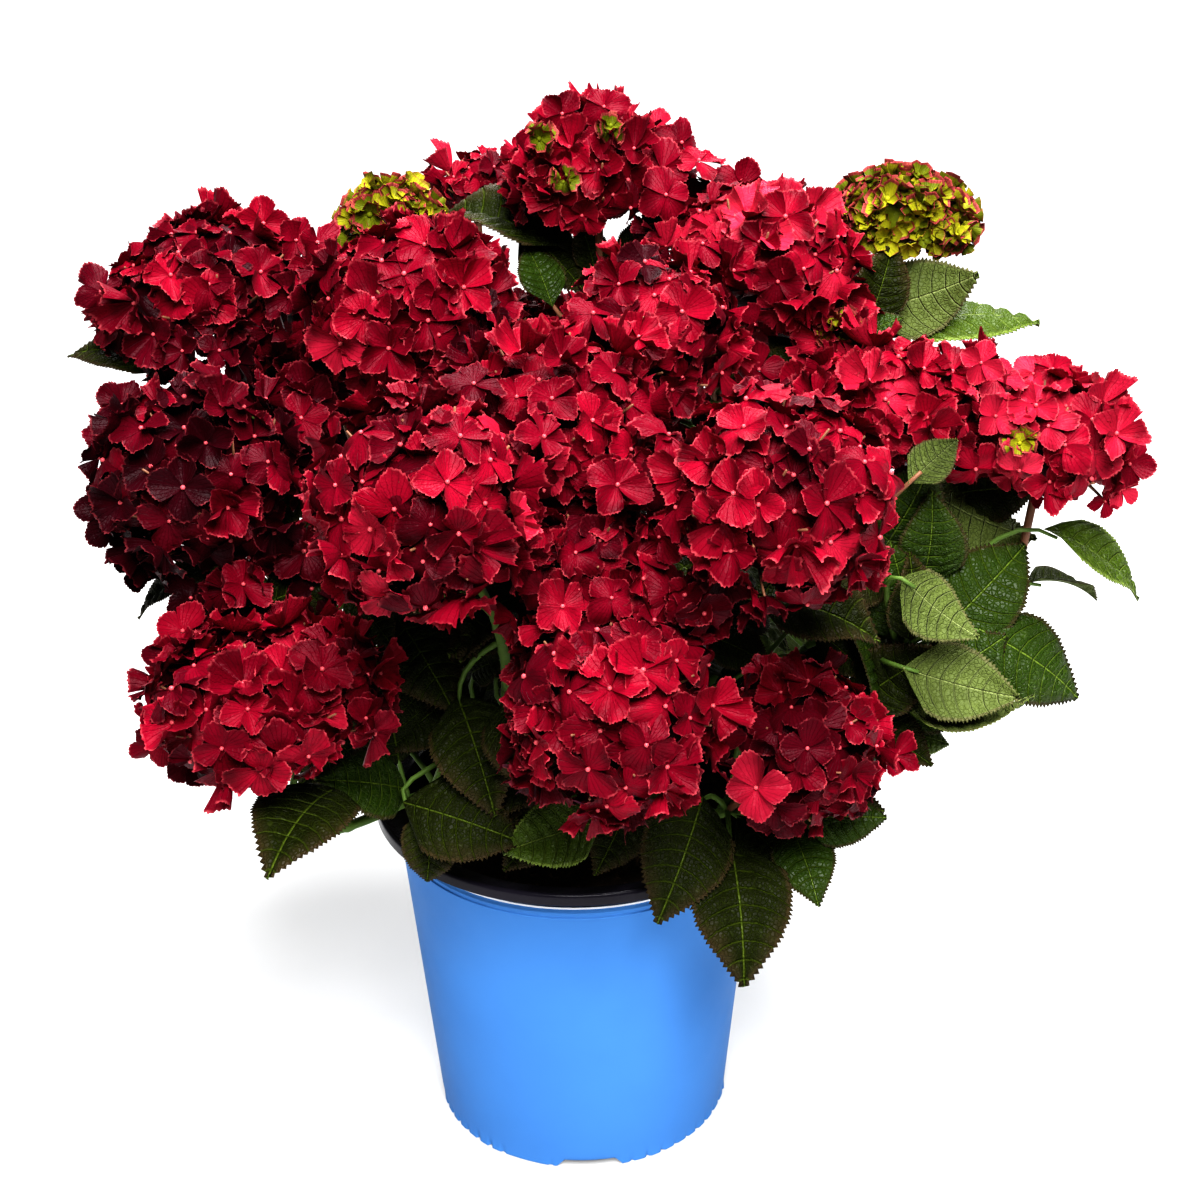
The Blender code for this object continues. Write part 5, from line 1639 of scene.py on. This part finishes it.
def drawn_up(name, profile, sides, close_ends):
    """Extrudes a circle through a profile of (radius, height) rings."""
    deselect_all()
    radius, height = profile[0]
    bpy.ops.mesh.primitive_circle_add(vertices=sides, radius=radius, location=(0.0, 0.0, height))
    piece = bpy.context.object
    piece.name = name
    bpy.ops.object.transform_apply(location=True, rotation=False, scale=False)
    bpy.ops.object.mode_set(mode="EDIT")
    bpy.ops.mesh.select_all(action="SELECT")
    for next_radius, next_height in profile[1:]:
        rise, grow = next_height - height, next_radius / radius
        bpy.ops.mesh.extrude_region_move(TRANSFORM_OT_translate={"value": (0.0, 0.0, rise)})
        bpy.ops.transform.resize(value=(grow, grow, 1.0), center_override=(0.0, 0.0, 0.0))
        radius, height = next_radius, next_height
    if close_ends:
        for radius, height in (profile[0], profile[-1]):
            select_edges(piece.data, lambda edge: all(
                abs(v.co.xy.length - radius) < SAME_RING and abs(v.co.z - height) < SAME_RING
                for v in edge.verts
            ))
            bpy.ops.mesh.edge_face_add()
    close_shell()
    return piece


def move_each(piece, rule):
    """Moves every point to where a rule sends it."""
    places = places_of(piece.data)
    for k, place in enumerate(places):
        places[k] = rule(*place)
    move_points(piece.data, places)


# %% Extrude the pot ring by ring
POT_HEIGHT = 0.203
POT_FOOT_RADIUS, POT_WALL_TOP_RADIUS = 0.0843, 0.1030
POT_WALL, POT_BASE = 0.0015, 0.005
RIM_RADIUS, RIM_BAND, RIM_THICKNESS, RIM_LEDGE_DROP = 0.115, 0.0068, 0.0016, 0.0030
FOOT_NOTCHES, FOOT_NOTCH_TURN = 4, 2.6
FOOT_NOTCH_WIDTH, FOOT_NOTCH_HEIGHT, FOOT_NOTCH_DEPTH = 0.037, 0.0048, 0.0050
FOOT_NOTCH_STEEPNESS = 4.5
POT_SIDES = 192
POT_CREASE, SLEEVE_CREASE = math.radians(38.0), math.radians(50.0)
FLANGE, LEDGE = POT_HEIGHT - RIM_LEDGE_DROP - RIM_THICKNESS, POT_HEIGHT - RIM_LEDGE_DROP
BAND_FOOT = POT_HEIGHT - RIM_BAND
# The rolled lip, as steps inwards from the band and down from the top
LIP = ((0.0001, 0.0022), (0.0003, 0.0009), (0.0009, 0.0002), (0.0017, 0.0),
       (0.0026, 0.0005), (0.0032, 0.0016))


def wall_radius(height):
    share = height / POT_HEIGHT
    return POT_FOOT_RADIUS + (POT_WALL_TOP_RADIUS - POT_FOOT_RADIUS) * share


def notch_height(turn):
    """How high the foot's edge is lifted at a turn round the pot, by its four notches."""
    first = math.radians(FOOT_NOTCH_TURN - 90.0)
    spacing = FULL_TURN / FOOT_NOTCHES
    off = (turn - first + spacing / 2.0) % spacing - spacing / 2.0
    share = abs(off) * POT_FOOT_RADIUS / (FOOT_NOTCH_WIDTH / 2.0)
    return FOOT_NOTCH_HEIGHT * min(1.0, max(0.0, FOOT_NOTCH_STEEPNESS * (1.0 - share)))


def notched(x, y, z):
    """Lifts the outer edge of the foot into its notches."""
    if math.hypot(x, y) > POT_FOOT_RADIUS - 0.0010 and z < 0.001:
        z = max(z, notch_height(math.atan2(y, x)))
    return x, y, z


inner_top = wall_radius(POT_HEIGHT) - POT_WALL
inner_base = wall_radius(POT_BASE) - POT_WALL
pot_profile = [
    (POT_FOOT_RADIUS - FOOT_NOTCH_DEPTH, 0.0),
    (POT_FOOT_RADIUS - 0.0008, 0.0),
    (POT_FOOT_RADIUS, 0.0008),
    (wall_radius(0.010), 0.010),
    (wall_radius(0.100), 0.100),
    (wall_radius(FLANGE), FLANGE - 0.0012),
    (wall_radius(FLANGE) + 0.0010, FLANGE),
    (RIM_RADIUS - RIM_THICKNESS, FLANGE),
    (RIM_RADIUS - RIM_THICKNESS, BAND_FOOT + 0.0004),
    (RIM_RADIUS - RIM_THICKNESS + 0.0004, BAND_FOOT),
    (RIM_RADIUS - 0.0004, BAND_FOOT),
    (RIM_RADIUS, BAND_FOOT + 0.0004),
    *((RIM_RADIUS - inwards, POT_HEIGHT - down) for inwards, down in LIP),
    (RIM_RADIUS - 0.0036, LEDGE),
    (inner_top + 0.0010, LEDGE),
    (inner_top + 0.0003, LEDGE - 0.0003),
    (inner_top, LEDGE - 0.0010),
    (wall_radius(0.190) - POT_WALL, 0.190),
    (wall_radius(0.100) - POT_WALL, 0.100),
    (inner_base + 0.0003, POT_BASE + 0.0030),
    (inner_base - 0.0020, POT_BASE),
]
pot = drawn_up("black_pot", pot_profile, POT_SIDES, True)
move_each(pot, notched)
pot.data.materials.append(pot_black)
bpy.ops.object.shade_smooth_by_angle(angle=POT_CREASE)
dress(pot, ["pot"])

# %% [markdown]
# ## The sleeve
# The pot's wall is covered by a printed sheet, left bare blue here. It ends just under the
# flange, where its cut edge shows as a pale line over two pressed rings. At the foot it
# follows the notches, and heat has drawn small dents into its lower edge.

# %% Extrude the sleeve and press its dents
SLEEVE_THICKNESS, SLEEVE_BOTTOM, SLEEVE_TOP = 0.0007, 0.0006, 0.1874
WHITE_EDGE = 0.0012
SLEEVE_SIDES = 448
DENTS, DENT_SHARPNESS = 56, 4
DENT_DEPTH, DENT_RISE, DENT_HEIGHT = 0.0024, 0.0014, 0.0066
DENT_BULGE = 0.35
NO_LIFT = 0.0001
# Heights of the plain rings, and the two pressed rings as (drop below the top, step outwards)
SLEEVE_HEIGHTS = (SLEEVE_BOTTOM, 0.0022, 0.0040, 0.0062, 0.0088, 0.0120, 0.060, 0.120)
PRESSED_RINGS = ((0.0086, 0.0), (0.0080, 0.0007), (0.0070, 0.0007), (0.0064, 0.0),
                 (0.0048, 0.0), (0.0042, 0.0006), (0.0034, 0.0006), (0.0028, 0.0))


def sleeve_ring(height, out=SLEEVE_THICKNESS):
    return wall_radius(height) + CLEARANCE + out, height


def dented(x, y, z):
    """Lifts the lower edge over the notches, and draws the dents into its outside."""
    if z >= DENT_HEIGHT:
        return x, y, z
    turn = math.atan2(y, x)
    lift = notch_height(turn)
    low = 1.0 - (z - SLEEVE_BOTTOM) / DENT_HEIGHT
    uneven = 0.55 + 0.9 * noise.noise(Vector((x, y, 0.0)) * 42.0)
    wander = 1.2 * noise.noise(Vector((y, x, 0.3)) * 30.0)
    dent = max(0.0, math.cos(turn * DENTS + wander)) ** DENT_SHARPNESS - DENT_BULGE
    dent *= low * max(0.0, uneven) * (lift < NO_LIFT)
    if math.hypot(x, y) > sleeve_ring(z, 0.5 * SLEEVE_THICKNESS)[0]:
        flat = 1.0 - DENT_DEPTH * dent / POT_FOOT_RADIUS
        x, y = x * flat, y * flat
    return x, y, z + (lift + DENT_RISE * max(0.0, dent)) * max(0.0, low)


sleeve_profile = [sleeve_ring(height) for height in SLEEVE_HEIGHTS]
for below, out in PRESSED_RINGS:
    sleeve_profile.append(sleeve_ring(SLEEVE_TOP - below, SLEEVE_THICKNESS + out))
sleeve_profile += [
    sleeve_ring(SLEEVE_TOP - WHITE_EDGE), sleeve_ring(SLEEVE_TOP), sleeve_ring(SLEEVE_TOP, 0.0),
    sleeve_ring(0.012, 0.0), sleeve_ring(SLEEVE_BOTTOM, 0.0), sleeve_ring(SLEEVE_BOTTOM),
]
sleeve = drawn_up("blue_sleeve", sleeve_profile, SLEEVE_SIDES, False)
move_each(sleeve, dented)
for finish in (sleeve_blue, cut_edge):
    sleeve.data.materials.append(finish)
for face in sleeve.data.polygons:
    face.material_index = 1 if face.center.z > SLEEVE_TOP - WHITE_EDGE else 0
bpy.ops.object.shade_smooth_by_angle(angle=SLEEVE_CREASE)
dress(sleeve, ["pot_sleeve"])

# %% [markdown]
# ## The potting mix
# The mix is a shallow mound of damp peat with bits of bark. A grid is rolled up into a disc
# with its rings close together, closed below, and shaken by noise. The bits are 900 small
# blocks, each squashed and turned its own way and half sunk.

# %% Roll up the mix
MIX_EDGE_HEIGHT = 0.1755
MIX_SIDES, MIX_RINGS = 120, 26
MOUND_FROM, MOUND_TO = 0.034, 0.100
MIX_LUMPS, MIX_CRUMBS = (0.0026, 70.0), (0.0016, 260.0)     # height and fineness
MIX_GAP, MIX_FOOT_GAP = 0.0006, 0.001


def mix_height(radius):
    share = min(1.0, max(0.0, (radius - MOUND_FROM) / (MOUND_TO - MOUND_FROM)))
    return MIX_MIDDLE_HEIGHT + (MIX_EDGE_HEIGHT - MIX_MIDDLE_HEIGHT) * share


def mix_place(x, y):
    """Rings out to the edge, then one at the foot of the wall and one in its middle."""
    turn = (x + 1.0) * math.pi
    ring = round((y + 1.0) / 2.0 * (MIX_RINGS + 2))
    radius = mix_edge * min(ring, MIX_RINGS) / MIX_RINGS
    if ring <= MIX_RINGS:
        height = mix_height(radius)
        where = Vector((radius * math.cos(turn), radius * math.sin(turn), 0.0))
        for rise, fineness in (MIX_LUMPS, MIX_CRUMBS):
            height += rise * noise.noise(where * fineness)
    else:
        radius = 0.0 if ring > MIX_RINGS + 1 else inner_base - MIX_FOOT_GAP
        height = POT_BASE + CLEARANCE
    return (radius * math.cos(turn), radius * math.sin(turn), height), None


mix_edge = wall_radius(MIX_EDGE_HEIGHT) - POT_WALL - MIX_GAP
mix = laid_grid("mix", MIX_SIDES, MIX_RINGS + 2, mix_place)
bpy.ops.object.mode_set(mode="EDIT")
close_shell()
mix.data.materials.append(potting_mix)
bpy.ops.object.shade_smooth()
dress(mix, ["potting_mix"])

# %% Strew its bits
MIX_BITS = 900
BIT_SIZES, BIT_LENGTHS, BIT_WIDTHS, BIT_HEIGHT = (0.0010, 0.0032), (0.5, 2.4), (0.4, 1.0), 0.45
BIT_TILT, BIT_EDGE_GAP = 60.0, 0.002

deselect_all()
bpy.ops.mesh.primitive_cube_add(size=1.0)
bit = model_of(bpy.context.object)
bits = Heap()
rng = random.Random("bits")
for _bit in range(MIX_BITS):
    radius = (mix_edge - BIT_EDGE_GAP) * math.sqrt(rng.random())
    turn = rng.uniform(0.0, FULL_TURN)
    spot = Vector((radius * math.cos(turn), radius * math.sin(turn), mix_height(radius)))
    way = tilted(UP, BIT_TILT, rng)
    size = rng.uniform(*BIT_SIZES)
    squash = (rng.uniform(*BIT_LENGTHS), rng.uniform(*BIT_WIDTHS), BIT_HEIGHT, 1.0)
    bits.copy(bit, standing(spot, way, rng.uniform(*ANY_SPIN), size) @ Matrix.Diagonal(squash))
bits.piece("mix_bits", [mix_chips], "potting_mix")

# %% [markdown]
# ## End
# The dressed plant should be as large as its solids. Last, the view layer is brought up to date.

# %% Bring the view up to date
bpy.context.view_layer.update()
